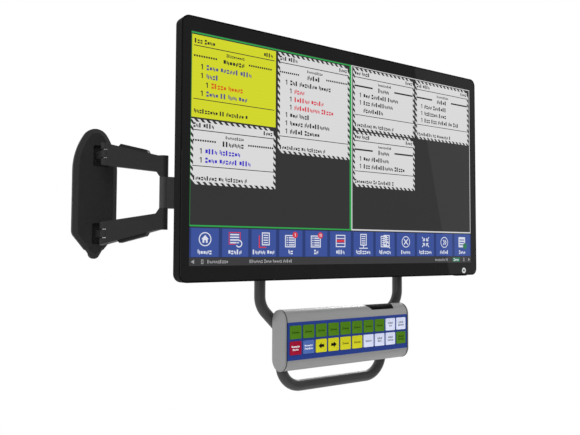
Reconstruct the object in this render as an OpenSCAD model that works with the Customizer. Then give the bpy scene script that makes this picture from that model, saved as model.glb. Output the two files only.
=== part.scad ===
// Kitchen display on a folding wall arm, with a key bar hung below it on a bent tube.
// Origin: middle of the wall plate's back. X to the right, Y into the wall, Z up.
// The screen faces -Y. Millimetres.

/* [Screen] */
// Width of the lit area
lit_w = 527; // [480:1:570]
// Height of the lit area
lit_h = 296.5; // [270:0.5:320]
// Black border at each side of the lit area
side_bezel = 13.5; // [12:0.5:24]
// Black border above the lit area
top_bezel = 19; // [18:0.5:28]
// Black border below the lit area
bottom_bezel = 21; // [20:0.5:30]
// Outer corner radius of the display
corner_r = 11; // [8:0.5:20]
// Thickness of the cover glass
glass_t = 2.5; // [2:0.1:3]
// Rim of the frame that shows round the glass
rim_w = 1.6; // [1.2:0.1:2.2]
// Thickness of the display panel behind the glass
panel_t = 10; // [9:0.5:11]
// Border of the display panel outside its lit area
panel_border = 4; // [2:0.5:6]
// Thickness of the chassis sheet
chassis_t = 1.5; // [1:0.1:2]

/* [Display body] */
// Depth of the straight side wall
side_d = 17; // [16:0.5:20]
// Depth of the rear cover behind the side wall
back_d = 14; // [12:0.5:16]
// How far the rear cover draws in at its edges
back_taper = 28; // [15:1:40]
// Depth of the electronics housing behind the rear cover
hump_d = 16; // [15:0.5:18]
// Height of the electronics housing
hump_h = 200; // [170:1:210]
// How far the sides of the electronics housing draw in
hump_taper = 7; // [3:0.5:10]
// Wall of the rear cover
shell_t = 2.5; // [2:0.1:3]
// Height from the mounting centre up to the middle of the lit area
vesa_drop = 47; // [30:1:60]
// Hole spacing of the mounting square
vesa_pitch = 100; // [75:25:100]
// Width of the power button
button_w = 25; // [16:1:36]
// Depth of the power button, front to back
button_t = 7; // [5:0.5:7.5]
// Distance from the display's right edge to the power button's middle
button_in = 33; // [26:1:60]
// Travel of the power button
button_travel = 1; // [0.5:0.1:1.5]

/* [Key bar] */
// Length of the bar's housing
bar_l = 227; // [200:1:260]
// Height of the bar
bar_h = 85; // [82:1:95]
// Depth of the bar
bar_d = 33; // [30:0.5:36]
// Wall of the bar's housing
bar_wall = 2.4; // [2:0.1:3]
// Gap between the display's lower edge and the bar
bar_gap = 41.75; // [35:0.25:60]
// Distance of the bar's face behind the glass
bar_set = 2.5; // [0:0.5:6]
// Thickness of the gaskets under the end caps
gasket_t = 1.2; // [0.8:0.1:2]
// Thickness of the end caps
cap_t = 2.8; // [2:0.1:5]
// Thickness of the key panel
key_panel_t = 2; // [1.5:0.1:2.5]
// Gap between two keys of a row
key_gap_x = 2.9; // [2.4:0.1:6]
// Gap between the two rows of keys
key_gap_z = 3.2; // [2.4:0.1:6]
// Border of the key panel left and right of the keys
key_border_x = 2.5; // [2.2:0.1:6]
// Border of the key panel above and below the keys
key_border_z = 4.4; // [4:0.1:6]
// Height of the middle of the key field above the bar's middle
key_lift = 1.4; // [0:0.1:1.6]
// How far a key stands out of the panel
key_proud = 1; // [0.8:0.1:1.6]
// Travel of a key
key_travel = 0.8; // [0.4:0.1:0.9]

/* [Tube frame] */
// Outer diameter of the tube
tube_d = 16; // [12:0.5:18]
// Wall of the tube
tube_wall = 1.5; // [1:0.1:2]
// Distance of the lower legs from the bar's ends
leg_in = 17.5; // [17:0.5:30]
// How far the upper legs stand outside the lower ones
jog_out = 36.5; // [30:0.5:45]
// Angle of the inward jog
jog_angle = 45; // [40:1:60]
// Distance from the display's lower edge to the start of the jog
jog_drop = 37.5; // [33:0.5:42]
// Radius of the bends, on the tube's middle line
bend_r = 33; // [26:1:36]
// Gap between the bar and the bottom run of the tube
loop_gap = 20.5; // [15:0.5:40]
// Height of the frame plate between display and arm
frame_plate_h = 120; // [115:1:150]
// Thickness of the frame plate
frame_plate_t = 3; // [2:0.5:4]

/* [Wall arm] */
// Width of the wall cover
cover_w = 66; // [60:1:76]
// Height of the cover's arched top
arch_h = 64; // [56:1:66]
// Radius of the arch's flanks
flank_r = 100; // [84:1:110]
// Height of the straight sides
straight_h = 93.5; // [85:0.5:110]
// Height of the straight sides above the arm's middle plane
straight_up = 35; // [30:1:45]
// Height of the cover's slanting foot
point_h = 24; // [20:0.5:34]
// Width of the tab under the foot
tab_w = 27; // [24:0.5:32]
// Height of the tab under the foot
tab_h = 13; // [10:0.5:16]
// Depth of the cover's straight rim
cover_rim = 6; // [5.5:0.5:10]
// Depth of the cover's bevel
bevel_d = 4; // [2.5:0.5:6]
// Width of the cover's bevel
bevel_w = 7; // [4:0.5:9]
// Thickness of the steel wall plate
wall_plate_t = 4; // [3:0.5:5]
// Diameter of the wall bolt holes
wall_hole_d = 8; // [6:0.5:10]
// Spacing of the wall bolt holes across
wall_hole_x = 40; // [36:1:44]
// Spacing of the wall bolt holes up
wall_hole_z = 60; // [50:1:62]
// Distance of the wall hinge from the wall
hinge_out = 35; // [32:0.5:45]
// Distance of the wall hinge to the right of the plate's middle
hinge_right = 8; // [0:0.5:10]
// Height of each lug above and below the arm's middle plane
lug_z = 58.2; // [56:0.1:60]
// Thickness of a lug
lug_t = 10.4; // [8:0.1:11]
// Radius of a lug's end
lug_r = 9; // [8.6:0.1:9.4]
// Length of the arm between its hinges
arm_len = 89.5; // [86:0.5:130]
// Angle of the arm from the wall
arm_angle = 48.5; // [40:0.1:60]
// Half thickness of the arm at the wall
fork_r = 9.6; // [9.5:0.1:11]
// Half thickness of the arm at the elbow, and radius of the elbow knuckles
elbow_r = 6.2; // [6:0.1:8]
// Height of the arm's top edge at the wall
arm_top = 76; // [72:0.5:78]
// Height of the arm's lower edge at the wall
arm_low = 42.5; // [38:0.5:44]
// Height of the elbow's top
elbow_top = 53; // [46:0.5:56]
// Height of a cable cover over the arm's edge
cable_cover_h = 4.3; // [2:0.1:6]
// Width of a cable cover
cable_cover_w = 10; // [8:0.5:11]
// Diameter of the wall pins and the elbow pin
pin_d = 6; // [5:0.5:7]
// Length of the link between its hinges
link_len = 244; // [230:1:300]
// Angle of the link from the wall
link_angle = 8.5; // [4:0.1:14]
// Height of the link
link_h = 45; // [36:0.5:50]
// Thickness of the link
link_t = 11; // [9:0.5:12]
// Radius of the link's barrel at the head
head_r = 9; // [8:0.1:9.5]
// Diameter of the swivel pin and the tilt bolt
head_pin_d = 8; // [6:0.5:9]
// Distance between the swivel axis and the tilt axis
tilt_off = 25; // [24:0.5:34]
// Half width of the tilt boss
tilt_half = 22; // [18:0.5:28]
// Distance of the tilt axis from the bracket's base
bracket_reach = 13; // [12:0.5:18]
// Thickness of the tilt bracket's base and of the mounting plate
bracket_t = 3; // [2:0.5:4]
// Thickness of the tilt bracket's ears
ear_t = 4; // [3:0.5:6]

/* [Hidden] */
$fn = 48;

// Clearances
fit = 0.3;         // between pieces that only lie in each other
press = 0.02;      // round a pin in the body that holds it, radial
running = 0.05;    // round a pin in the body that turns on it, radial
over = 1;          // how far a cutter runs past what it cuts

// The chain from the wall to the screen
hinge = [hinge_right, -hinge_out];
elbow = hinge + arm_len * [cos(arm_angle), -sin(arm_angle)];
head = elbow + link_len * [cos(link_angle), -sin(link_angle)];
tilt = head - [0, tilt_off];
flat_y = side_d + back_d;
display_d = flat_y + hump_d;
frame_plate_y = display_d + frame_plate_t;
vesa_y = frame_plate_y + bracket_t;
glass_y = tilt[1] - bracket_reach - bracket_t - vesa_y;

// The display, seen from its own front: X right, Y back from the glass, Z up from the lit middle
disp_w = lit_w + 2 * side_bezel;
disp_h = lit_h + top_bezel + bottom_bezel;
disp_mid = (top_bezel - bottom_bezel) / 2;
disp_top = lit_h / 2 + top_bezel;
disp_bottom = -lit_h / 2 - bottom_bezel;
panel_w = lit_w + 2 * panel_border;
panel_h = lit_h + 2 * panel_border;
chassis_y = glass_t + panel_t;
chassis_back = chassis_y + chassis_t;
chassis_in = 3;
cover_in = 2;
vesa_z = -vesa_drop;
vesa_holes = [for (sx = [-1, 1], sz = [-1, 1]) [sx * vesa_pitch / 2, vesa_z + sz * vesa_pitch / 2]];
vesa_screw_d = 4;
vesa_screw_l = 18;
vesa_head_d = 2 * vesa_screw_d;
vesa_head_t = 0.65 * vesa_screw_d;
vesa_hole_d = vesa_screw_d + 2 * fit;
vesa_well = 2;
vesa_plate_w = vesa_pitch + 18;
pillar_d = 9;
relief_w = 28;
relief_in = 22;
relief_r = 8;

// Rear screws
rear_screw_d = 3;
rear_screw_head = 6.5;
rear_head_t = 2.4;
rear_boss_d = 9;
rear_in_x = 37;
rear_in_z = 47;
rear_holes = concat(
    [for (sx = [-1, 1], sz = [-1, 1])
        [sx * (disp_w / 2 - rear_in_x), disp_mid + sz * (disp_h / 2 - rear_in_z)]],
    [for (sx = [-1, 1]) [sx * disp_w / 7, disp_top - rear_in_z]]);
rear_sink = 4;

// Places of the tube's legs
low_x = bar_l / 2 - leg_in;
leg_x = low_x + jog_out;

// Electronics housing, between the upper legs
hump_gap = 9.5;
hump_w = 2 * (leg_x - tube_d / 2 - hump_gap);
hump_low = vesa_z - hump_h / 2;
hump_r = 12;

// Main board: its back is level with the rear cover's back, so the sockets open below the housing
board_edge = 20;
board_w = hump_w - 2 * board_edge;
board_h = 118;
board_t = 1.6;
board_low = hump_low + 6;
board_y = flat_y - board_t;
post_in = 8;
board_posts = [for (sx = [-1, 1], sz = [0, 1])
    [sx * (board_w / 2 - post_in), board_low + post_in + sz * (board_h - 2 * post_in)]];
post_d = 6;
chip_w = 40;
chip_t = 2;
memory_w = 6;
memory_h = 68;
memory_t = 4;
// Sockets: place along the board, width, depth and wall round the mouth
socket_l = 18;
socket_back = 4;
sockets = [[-66, 12, 11, 2], [-38, 16, 12.5, 2], [-8, 15, 7.5, 1.2], [14, 15, 7.5, 1.2]];
socket_last = sockets[len(sockets) - 1];
socket_depth = max([for (s = sockets) s[2]]);
sink_w = 84;
sink_h = 56;
sink_in = 4;
sink_base = 3;
sink_fins = 11;
sink_fin_t = 1.6;

// Slots in the flat back: a row of vents above the housing, and a grille behind each speaker
vents = 14;
vent_step = 12;
vent_w = 3;
vent_h = 28;
vent_in = 70;
vent_z = disp_top - vent_in;
grille = 7;
grille_step = 5;
grille_w = 2.4;
grille_h = 18;

// Speakers
speaker_w = 90;
speaker_h = 34;
speaker_d = 11;
speaker_in_x = 95;
speaker_in_z = 43;
speaker_x = disp_w / 2 - speaker_in_x;
speaker_z = disp_bottom + speaker_in_z;
cone_r = 13;

// Camera behind the glass, in the middle of the upper border
camera_z = lit_h / 2 + top_bezel / 2;
camera_w = 60;
camera_h = 9;
camera_d = 8;
lens_d = 6;
lens_l = 4.5;

// Power button in the lower wall of the frame
button_x = disp_w / 2 - button_in;
button_y = (glass_t + chassis_y) / 2 + 0.2;
button_out = 1.2;
button_lip = 3;
flange = 0.8;
flange_t = 1.5;
stem_h = 1.2;
plunger_h = 1.1;
switch_h = 2.5;
switch_board_t = 1.4;
stop_gap = 0.2;
button_room = flange_t + stem_h + button_travel + stop_gap + plunger_h + switch_h + switch_board_t;

// Key bar, in its own section: Y back and Z up from the section's middle
flat_h = bar_h - bar_d;
bar_top = disp_bottom - bar_gap;
bar_z = bar_top - bar_h / 2;
bar_y = bar_set + bar_d / 2;
face_y = -bar_d / 2;
inside_y = face_y + key_panel_t;
key_flange = 0.7;
key_flange_t = 1;
plunger_l = 1.5;
dome_h = 1.5;
mat_t = 0.8;
key_board_t = 1.6;
mat_y = inside_y + key_flange_t + plunger_l + key_travel + 0.1 + dome_h;
key_board_y = mat_y + mat_t;
key_board_h = flat_h + 14;
rib_t = 1.4;
ledge = 3;
key_cols = 10;
key_pitch_x = (bar_l - 2 * key_border_x) / key_cols;
key_pitch_z = flat_h / 2 - key_border_z;
key_w = key_pitch_x - key_gap_x;
key_h = key_pitch_z - key_gap_z;
key_window_gap = 0.15;
port_w = 39.7;
port_in = 27;
port_flare = 10;
port_slant = 23;
port_low = 9.5;
port_back = 11;
screw_port_d = 7;
peg_d = 4;
peg_l = 8;
peg_at = [8.6, flat_h / 2 + 8.6];

// Tube
tube_y = bar_set + bar_d + 0.2 + tube_d / 2;
jog_z = disp_bottom - jog_drop;
jog_low = jog_z - (leg_x - low_x) / tan(jog_angle);
bend_reach = bend_r * tan(jog_angle / 2);
loop_z = bar_z - bar_h / 2 - loop_gap - tube_d / 2;
leg_top = vesa_z + frame_plate_h / 2 + 5;

// Clamps that hold the bar to the lower legs
clamp_h = 16;
clamp_z = jog_low - bend_reach - clamp_h / 2 - 2;
clamp_t = 3;
clamp_wall = 2.4;
clamp_screw_d = 3.5;
clamp_screw_l = 9;
clamp_head_d = 1.6 * clamp_screw_d;
clamp_head_t = 0.55 * clamp_screw_d;
clamp_screw_x = tube_d / 2 + clamp_wall + clamp_head_d / 2 + fit;
clamp_edge = 0.9;
clamp_w = 2 * clamp_screw_x + clamp_head_d + 2 * clamp_edge;

// Wall cover
turn_r = 14;
// How far a turn stands over the lines beside it, so that the outlines cross cleanly
turn_over = 0.03;
cover_wall = 2;
window_w = 26;
window_h = 31;

// Arm
slot_r = fork_r + 0.7;
washer_t = 1.4;
slot_h = lug_t + 2 * washer_t + 2 * fit;
washer_r = 6.6;
knuckle_low = link_h / 2 + fit;
chamfer_w = 5.1;
chamfer_h = 7.2;
knuckle_in = 4.1;
fork_end = slot_r + 0.4;
cable_from = 20;
cable_to = arm_len - 22.5;
cable_slope = 3.5;
channel_w = 5;
channel_d = 6;

// Head
head_ear_t = 12;
head_ear_r = 10;
head_top = link_h / 2 + fit + head_ear_t;
web_gap = head_r + 2;
web_t = 8;
web_w = 30;
boss_r = 9;
ear_r = 11;
knob_d = 26;
knob_t = 14;
knob_lobes = 6;

// Height of the arm's upper edge at a distance from the wall hinge
function arm_edge(x) = arm_top + (x + fork_end) / (arm_len - elbow_r + fork_end) * (elbow_top - arm_top);
// Place of a key in its bar: columns left to right, row 0 above row 1
function key_place(i) = [(i % key_cols - (key_cols - 1) / 2) * key_pitch_x,
                         key_lift + (0.5 - floor(i / key_cols)) * key_pitch_z];
// Two-figure key name
function key_name(i) = str("key_", i < 9 ? "0" : "", i + 1);

// Placing
module in_display() { translate([head[0], glass_y, vesa_drop]) children(); }
module in_bar() { in_display() translate([0, bar_y, bar_z]) children(); }
module in_arm() { translate([hinge[0], hinge[1], 0]) rotate([0, 0, -arm_angle]) children(); }
module in_link() { translate([elbow[0], elbow[1], 0]) rotate([0, 0, -link_angle]) children(); }
module in_head() { translate([head[0], head[1], 0]) children(); }
module in_tilt() { translate([tilt[0], tilt[1], 0]) children(); }
module both_ways() { children(); mirror([0, 0, 1]) children(); }
module both_sides() { children(); mirror([1, 0, 0]) children(); }

// A flat shape drawn in X and Z, made solid between two places along Y
module along_y(y0, y1) {
    translate([0, y1, 0]) rotate([90, 0, 0]) linear_extrude(height = y1 - y0) children();
}
// A flat shape drawn in Y and Z, made solid between two places along X
module along_x(x0, x1) {
    translate([x0, 0, 0]) rotate([90, 0, 90]) linear_extrude(height = x1 - x0) children();
}
module rod_x(d, x0, x1) { translate([x0, 0, 0]) rotate([0, 90, 0]) cylinder(d = d, h = x1 - x0); }
module rod_y(d, y0, y1) { translate([0, y1, 0]) rotate([90, 0, 0]) cylinder(d = d, h = y1 - y0); }
module rod_z(d, z0, z1) { translate([0, 0, z0]) cylinder(d = d, h = z1 - z0); }
module box(from, to) { translate(from) cube(to - from); }

// Rectangle with round corners, about its middle
module round_rect(w, h, r) {
    square([w - 2 * r, h], center = true);
    square([w, h - 2 * r], center = true);
    for (sx = [-1, 1], sz = [-1, 1]) translate([sx * (w / 2 - r), sz * (h / 2 - r)]) circle(r = r);
}
// The display's outline, drawn in by an inset
module outline(inset) {
    translate([0, disp_mid]) round_rect(disp_w - 2 * inset, disp_h - 2 * inset, max(corner_r - inset, 4));
}
// Two circles joined by straight flanks: the plan of a tapered arm along X.
// The flanks lie a hair inside the outer tangents, so that they cut the circles cleanly.
module taper_plan(r1, r2, l) {
    s = (r1 - r2) / l;
    c = sqrt(1 - s * s);
    a = r1 - 0.05;
    b = r2 - 0.05;
    circle(r = r1);
    translate([l, 0]) circle(r = r2);
    polygon([[a * s, -a * c], [l + b * s, -b * c], [l + b * s, b * c], [a * s, a * c]]);
}

// Upper part of the shield outline, drawn in by an inset: arched top, straight sides, slanting foot
module shield_body(inset) {
    half = cover_w / 2 - inset;
    rise = arch_h - inset;
    side_r = flank_r - inset;
    crown_r = (2 * half * side_r - half * half - rise * rise) / (2 * (side_r - rise));
    meet = side_r * (rise - crown_r) / (side_r - crown_r);
    low = straight_up - straight_h;
    foot = tab_w / 2 - inset / 2;
    turn = atan2(half - foot, point_h);
    run = turn_r * tan(turn / 2);
    translate([0, straight_up]) {
        intersection() {
            translate([half - side_r, 0]) circle(r = side_r);
            translate([side_r - half, 0]) circle(r = side_r);
            translate([-half, 0]) square([2 * half, meet]);
        }
        translate([0, rise - crown_r]) circle(r = crown_r);
    }
    translate([-half, low + run]) square([2 * half, straight_h - run]);
    for (sx = [-1, 1]) translate([sx * (half - turn_r), low + run]) circle(r = turn_r + turn_over);
    polygon([[turn_r - half, low + run], [run * sin(turn) - half, low - run * cos(turn)],
             [-foot, low - point_h + inset], [foot, low - point_h + inset],
             [half - run * sin(turn), low - run * cos(turn)], [half - turn_r, low + run]]);
}
// The narrow tab under the shield
module shield_tab(inset) {
    top = straight_up - straight_h - point_h + 2 * tab_h / 3;
    low = straight_up - straight_h - point_h - tab_h + inset;
    r = tab_w * 0.3 - inset / 3;
    half = tab_w / 2 - inset / 2;
    translate([0, low + r]) circle(r = r);
    polygon([[-r, low + r], [r, low + r], [half, top - tab_h / 2],
             [half, top], [-half, top], [-half, top - tab_h / 2]]);
}
module shield(inset) {
    shield_body(inset);
    shield_tab(inset);
}
// Front of the cover: a bevel drawn in towards the front
module bevel_form(front, inset) {
    hull() {
        along_y(-cover_rim, -cover_rim + over / 2) shield_body(inset, $fn = 96);
        along_y(front, front + over / 5) shield_body(inset / 2 + bevel_w, $fn = 96);
    }
    hull() {
        along_y(-cover_rim, -cover_rim + over / 2) shield_tab(inset, $fn = 48);
        along_y(front, front + over / 5) shield_tab(inset / 2 + bevel_w, $fn = 48);
    }
}
// Solid form of the cover: straight rim and bevelled front
module cover_form(inset) {
    along_y(-cover_rim, 0) shield(inset);
    bevel_form(inset - cover_rim - bevel_d, inset);
}

module wall_plate() {
    color("dimgray") difference() {
        union() {
            along_y(-wall_plate_t, 0) shield(cover_wall + fit);
            both_ways() translate([hinge[0], 0, lug_z - lug_t / 2]) linear_extrude(height = lug_t) {
                translate([0, hinge[1]]) circle(r = lug_r);
                translate([-lug_r + 1, hinge[1]]) square([2 * lug_r - 2, hinge_out - wall_plate_t / 2]);
            }
        }
        translate([hinge[0], hinge[1], 0]) rod_z(pin_d + 2 * running, -arm_top, arm_top);
        for (sx = [-1, 1], sz = [-1, 1]) translate([sx * wall_hole_x / 2, 0, sz * wall_hole_z / 2])
            rod_y(wall_hole_d, -wall_plate_t - over, over);
    }
}
module wall_cover() {
    color("darkslategray") difference() {
        cover_form(0);
        translate([0, over / 100, 0]) cover_form(cover_wall);
        both_ways() translate([hinge[0], 0, lug_z]) along_y(-cover_rim - bevel_d - over, over)
            round_rect(window_w, window_h, 3);
    }
}

// Upper arm in its own frame: X from the wall hinge to the elbow
module arm_form() {
    difference() {
        intersection() {
            linear_extrude(height = arm_top + over) taper_plan(fork_r, elbow_r, arm_len);
            along_y(-fork_r - over, fork_r + over) polygon([
                [-fork_end, arm_edge(-fork_end)], [arm_len - elbow_r, elbow_top],
                [arm_len + elbow_r, elbow_top], [arm_len + elbow_r, knuckle_low],
                [arm_len - knuckle_in, knuckle_low],
                [arm_len - knuckle_in - chamfer_w, knuckle_low + chamfer_h],
                [-fork_end, arm_low]]);
        }
        translate([0, 0, lug_z - slot_h / 2]) linear_extrude(height = slot_h) {
            circle(r = slot_r);
            translate([-2 * slot_r, -slot_r]) square(2 * slot_r);
        }
        rod_z(pin_d + 2 * press, 0, arm_top + over);
        translate([arm_len, 0, 0]) rod_z(pin_d + 2 * press, 0, elbow_top + over);
        along_y(-channel_w / 2, channel_w / 2) polygon([
            [cable_from + cable_slope, arm_edge(cable_from + cable_slope) - channel_d],
            [cable_to - cable_slope, arm_edge(cable_to - cable_slope) - channel_d],
            [cable_to - cable_slope, arm_edge(cable_to - cable_slope) + over],
            [cable_from + cable_slope, arm_edge(cable_from + cable_slope) + over]]);
    }
}
module upper_arm() { color("darkslategray") in_arm() arm_form(); }
module lower_arm() { color("darkslategray") mirror([0, 0, 1]) in_arm() arm_form(); }
module cable_covers() {
    color("dimgray") both_ways() in_arm() along_y(-cable_cover_w / 2, cable_cover_w / 2) polygon([
        [cable_from, arm_edge(cable_from)], [cable_to, arm_edge(cable_to)],
        [cable_to - cable_slope, arm_edge(cable_to - cable_slope) + cable_cover_h],
        [cable_from + cable_slope, arm_edge(cable_from + cable_slope) + cable_cover_h]]);
}
module wall_pins() {
    color("silver") both_ways() in_arm() rod_z(pin_d, arm_low + 1, arm_edge(pin_d) - 0.5);
}
module wall_washers() {
    color("white") both_ways() in_arm() for (s = [-1, 1])
        translate([0, 0, lug_z + s * (lug_t / 2 + fit + washer_t / 2)]) difference() {
            cylinder(r = washer_r, h = washer_t - 0.1, center = true);
            cylinder(d = pin_d + 0.4, h = washer_t + over, center = true);
        }
}
module elbow_pin() {
    color("silver") in_arm() translate([arm_len, 0, 0]) rod_z(pin_d, -elbow_top, elbow_top);
}

module link_arm() {
    pocket_in = 26;
    pocket_h = link_h - 18;
    pocket_d = 2.5;
    color("darkslategray") in_link() difference() {
        union() {
            box([0, -link_t / 2, -link_h / 2], [link_len, link_t / 2, link_h / 2]);
            rod_z(2 * elbow_r, -link_h / 2, link_h / 2);
            translate([link_len, 0, 0]) rod_z(2 * head_r, -link_h / 2, link_h / 2);
        }
        rod_z(pin_d + 2 * running, -link_h, link_h);
        translate([link_len, 0, 0]) rod_z(head_pin_d + 2 * running, -link_h, link_h);
        for (s = [0, 1]) mirror([0, s, 0]) along_y(link_t / 2 - pocket_d, link_t / 2 + over)
            translate([link_len / 2, 0]) round_rect(link_len - 2 * pocket_in, pocket_h, 8);
    }
}

module swivel_head() {
    color("darkslategray") difference() {
        union() {
            in_head() both_ways() translate([0, 0, link_h / 2 + fit]) linear_extrude(height = head_ear_t) {
                circle(r = head_ear_r);
                translate([-head_ear_r, -web_gap - web_t]) square([2 * head_ear_r, web_gap + web_t]);
            }
            in_head() box([-web_w / 2, -web_gap - web_t, -head_top], [web_w / 2, -web_gap, head_top]);
            in_tilt() rod_x(2 * boss_r, -tilt_half, tilt_half);
        }
        in_head() rod_z(head_pin_d + 2 * press, -head_top - over, head_top + over);
        in_tilt() rod_x(head_pin_d + 2 * running, -tilt_half - over, tilt_half + over);
    }
}
module swivel_pin() { color("silver") in_head() rod_z(head_pin_d, -head_top - 0.5, head_top + 0.5); }

module tilt_bracket() {
    inner = tilt_half + fit;
    base_h = 60;
    color("darkslategray") in_tilt() difference() {
        union() {
            box([-inner - ear_t, -bracket_reach - bracket_t, -base_h / 2],
                [inner + ear_t, -bracket_reach, base_h / 2]);
            both_sides() along_x(inner, inner + ear_t) {
                circle(r = ear_r);
                polygon([[0, -ear_r], [0, ear_r], [-bracket_reach - over / 2, base_h / 2],
                         [-bracket_reach - over / 2, -base_h / 2]]);
            }
        }
        rod_x(head_pin_d + 2 * press, -inner - ear_t - over, inner + ear_t + over);
    }
}
module tilt_bolt() {
    reach = tilt_half + fit + ear_t;
    color("silver") in_tilt() {
        rod_x(head_pin_d, -reach, reach + knob_t - 4);
        translate([-reach - 5.5, 0, 0]) rotate([0, 90, 0]) cylinder(d = head_pin_d * 1.85, h = 5.5, $fn = 6);
    }
}
module tilt_knob() {
    from = tilt_half + fit + ear_t;
    color("black") in_tilt() difference() {
        union() {
            rod_x(knob_d * 0.62, from, from + 4);
            rod_x(knob_d, from + 4, from + knob_t);
        }
        for (i = [0 : knob_lobes - 1]) rotate([i * 360 / knob_lobes, 0, 0]) translate([0, 0, knob_d / 2 + 2])
            rod_x(8, from + 3, from + knob_t + over);
        rod_x(head_pin_d + 2 * press, from - over, from + knob_t - 4);
    }
}
module vesa_plate() {
    color("darkslategray") in_display() difference() {
        along_y(frame_plate_y, vesa_y) translate([0, vesa_z]) round_rect(vesa_plate_w, vesa_plate_w, 8);
        for (p = vesa_holes) translate([p[0], 0, p[1]])
            rod_y(vesa_hole_d, frame_plate_y - over, vesa_y + over);
    }
}
module vesa_screws() {
    color("silver") in_display() for (p = vesa_holes) translate([p[0], 0, p[1]]) {
        rod_y(vesa_screw_d, vesa_y - vesa_screw_l, vesa_y);
        difference() {
            rod_y(vesa_head_d, vesa_y, vesa_y + vesa_head_t);
            translate([0, vesa_y + vesa_head_t + over, 0]) rotate([90, 0, 0])
                cylinder(d = vesa_screw_d * 0.72, h = over + vesa_head_t * 0.6, $fn = 6);
        }
    }
}

// Tube frame: straight runs and bends in the plane Y = 0. The bends are a hair thicker than the
// runs, and the runs reach a little into them, so that every joint cuts cleanly.
module bend(cx, cz, from, to, d) {
    translate([cx, 0, cz]) rotate([90, 0, 0]) rotate([0, 0, from]) rotate_extrude(angle = to - from)
        translate([bend_r, 0]) circle(d = d + 0.1);
}
module tube_path(d, top) {
    into = 0.5;
    upper_z = jog_z + bend_reach;
    lower_z = jog_low - bend_reach;
    drop = [bend_r * (1 - cos(jog_angle)), bend_r * sin(jog_angle)];
    slant = norm([leg_x - low_x - 2 * drop[0], upper_z - lower_z - 2 * drop[1]]);
    both_sides() {
        translate([leg_x, 0, 0]) rod_z(d, upper_z - into, top);
        bend(leg_x - bend_r, upper_z, -jog_angle, 0, d);
        translate([leg_x - drop[0], 0, upper_z - drop[1]]) rotate([0, 180 + jog_angle, 0])
            rod_z(d, -into, slant + into);
        bend(low_x + bend_r, lower_z, 180 - jog_angle, 180, d);
        translate([low_x, 0, 0]) rod_z(d, loop_z + bend_r - into, lower_z + into);
        bend(low_x - bend_r, loop_z + bend_r, -90, 0, d);
    }
    translate([0, 0, loop_z]) rod_x(d, bend_r - low_x - into, low_x - bend_r + into);
}
module tube_frame() {
    color("dimgray") in_display() translate([0, tube_y, 0]) difference() {
        tube_path(tube_d, leg_top);
        tube_path(tube_d - 2 * tube_wall, leg_top + over);
    }
}
module frame_plate() {
    color("dimgray") in_display() difference() {
        along_y(display_d, frame_plate_y) translate([0, vesa_z])
            square([2 * leg_x, frame_plate_h], center = true);
        for (sx = [-1, 1]) translate([sx * leg_x, tube_y, vesa_z])
            rod_z(tube_d + 2 * running, -frame_plate_h, frame_plate_h);
        for (p = vesa_holes) translate([p[0], 0, p[1]])
            rod_y(vesa_hole_d, display_d - over, frame_plate_y + over);
        for (sx = [-1, 1]) along_y(display_d - over, frame_plate_y + over)
            translate([sx * (vesa_pitch / 4 + leg_x / 2), vesa_z])
                round_rect(relief_w, frame_plate_h - 2 * relief_in, relief_r);
    }
}

module front_frame() {
    room = disp_bottom + button_lip;
    color("black") in_display() difference() {
        along_y(0, side_d) outline(0);
        along_y(-over, glass_t) outline(rim_w);
        along_y(0, side_d + over) square([panel_w + 2 * fit, panel_h + 2 * fit], center = true);
        along_y(chassis_y, side_d + over) outline(chassis_in);
        box([-camera_w / 2 - fit, glass_t - over, camera_z - camera_h / 2 - fit],
            [camera_w / 2 + fit, glass_t + camera_d, camera_z + camera_h / 2 + fit]);
        box([button_x - button_w / 2 - fit, button_y - button_t / 2 - fit, disp_bottom - over],
            [button_x + button_w / 2 + fit, button_y + button_t / 2 + fit, room + over]);
        box([button_x - button_w / 2 - flange - fit, button_y - button_t / 2 - flange - fit, room],
            [button_x + button_w / 2 + flange + fit, chassis_y + over, room + button_room]);
    }
}
module cover_glass() { color("black") in_display() along_y(0, glass_t) outline(rim_w + 0.1); }
module lcd_panel() {
    color("darkslategray") in_display() along_y(glass_t, chassis_y) square([panel_w, panel_h], center = true);
}
module chassis_plate() {
    color("silver") in_display() difference() {
        union() {
            along_y(chassis_y, chassis_back) outline(chassis_in + fit);
            for (p = vesa_holes) translate([p[0], 0, p[1]]) rod_y(pillar_d, chassis_y, display_d - shell_t);
            for (p = board_posts) translate([p[0], 0, p[1]]) rod_y(post_d, chassis_y, board_y);
        }
        for (p = vesa_holes) translate([p[0], 0, p[1]])
            rod_y(vesa_screw_d + 2 * press, vesa_y - vesa_screw_l - vesa_well, display_d + over);
        for (p = rear_holes) translate([p[0], 0, p[1]])
            rod_y(rear_screw_d + 2 * press, chassis_y - over, chassis_back + over);
    }
}
module main_board() {
    color("darkgreen") in_display() difference() {
        translate([0, 0, board_low]) union() {
            box([-board_w / 2, board_y, 0], [board_w / 2, board_y + board_t, board_h]);
            translate([-chip_w / 2, board_y - chip_t, (board_h - chip_w) / 2])
                box([0, 0, 0], [chip_w, chip_t + board_t / 2, chip_w]);
            for (i = [0, 1])
                translate([chip_w + 2 * i * memory_w, board_y - memory_t, (board_h - memory_h) / 2])
                    box([0, 0, 0], [memory_w, memory_t + board_t / 2, memory_h]);
        }
        for (p = vesa_holes) translate([p[0], 0, p[1]])
            rod_y(pillar_d + 2, board_y - memory_t - over, board_y + board_t + over);
    }
}
module heat_sink() {
    gap = (sink_w - sink_fin_t) / (sink_fins - 1);
    top = display_d - shell_t - 1;
    color("lightgray") in_display() translate([-sink_w / 2, 0, board_low + board_h - sink_h - sink_in]) {
        box([0, board_y + board_t, 0], [sink_w, board_y + board_t + sink_base, sink_h]);
        for (i = [0 : sink_fins - 1]) translate([i * gap, 0, 0])
            box([0, board_y + board_t, 0], [sink_fin_t, top, sink_h]);
    }
}
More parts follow.
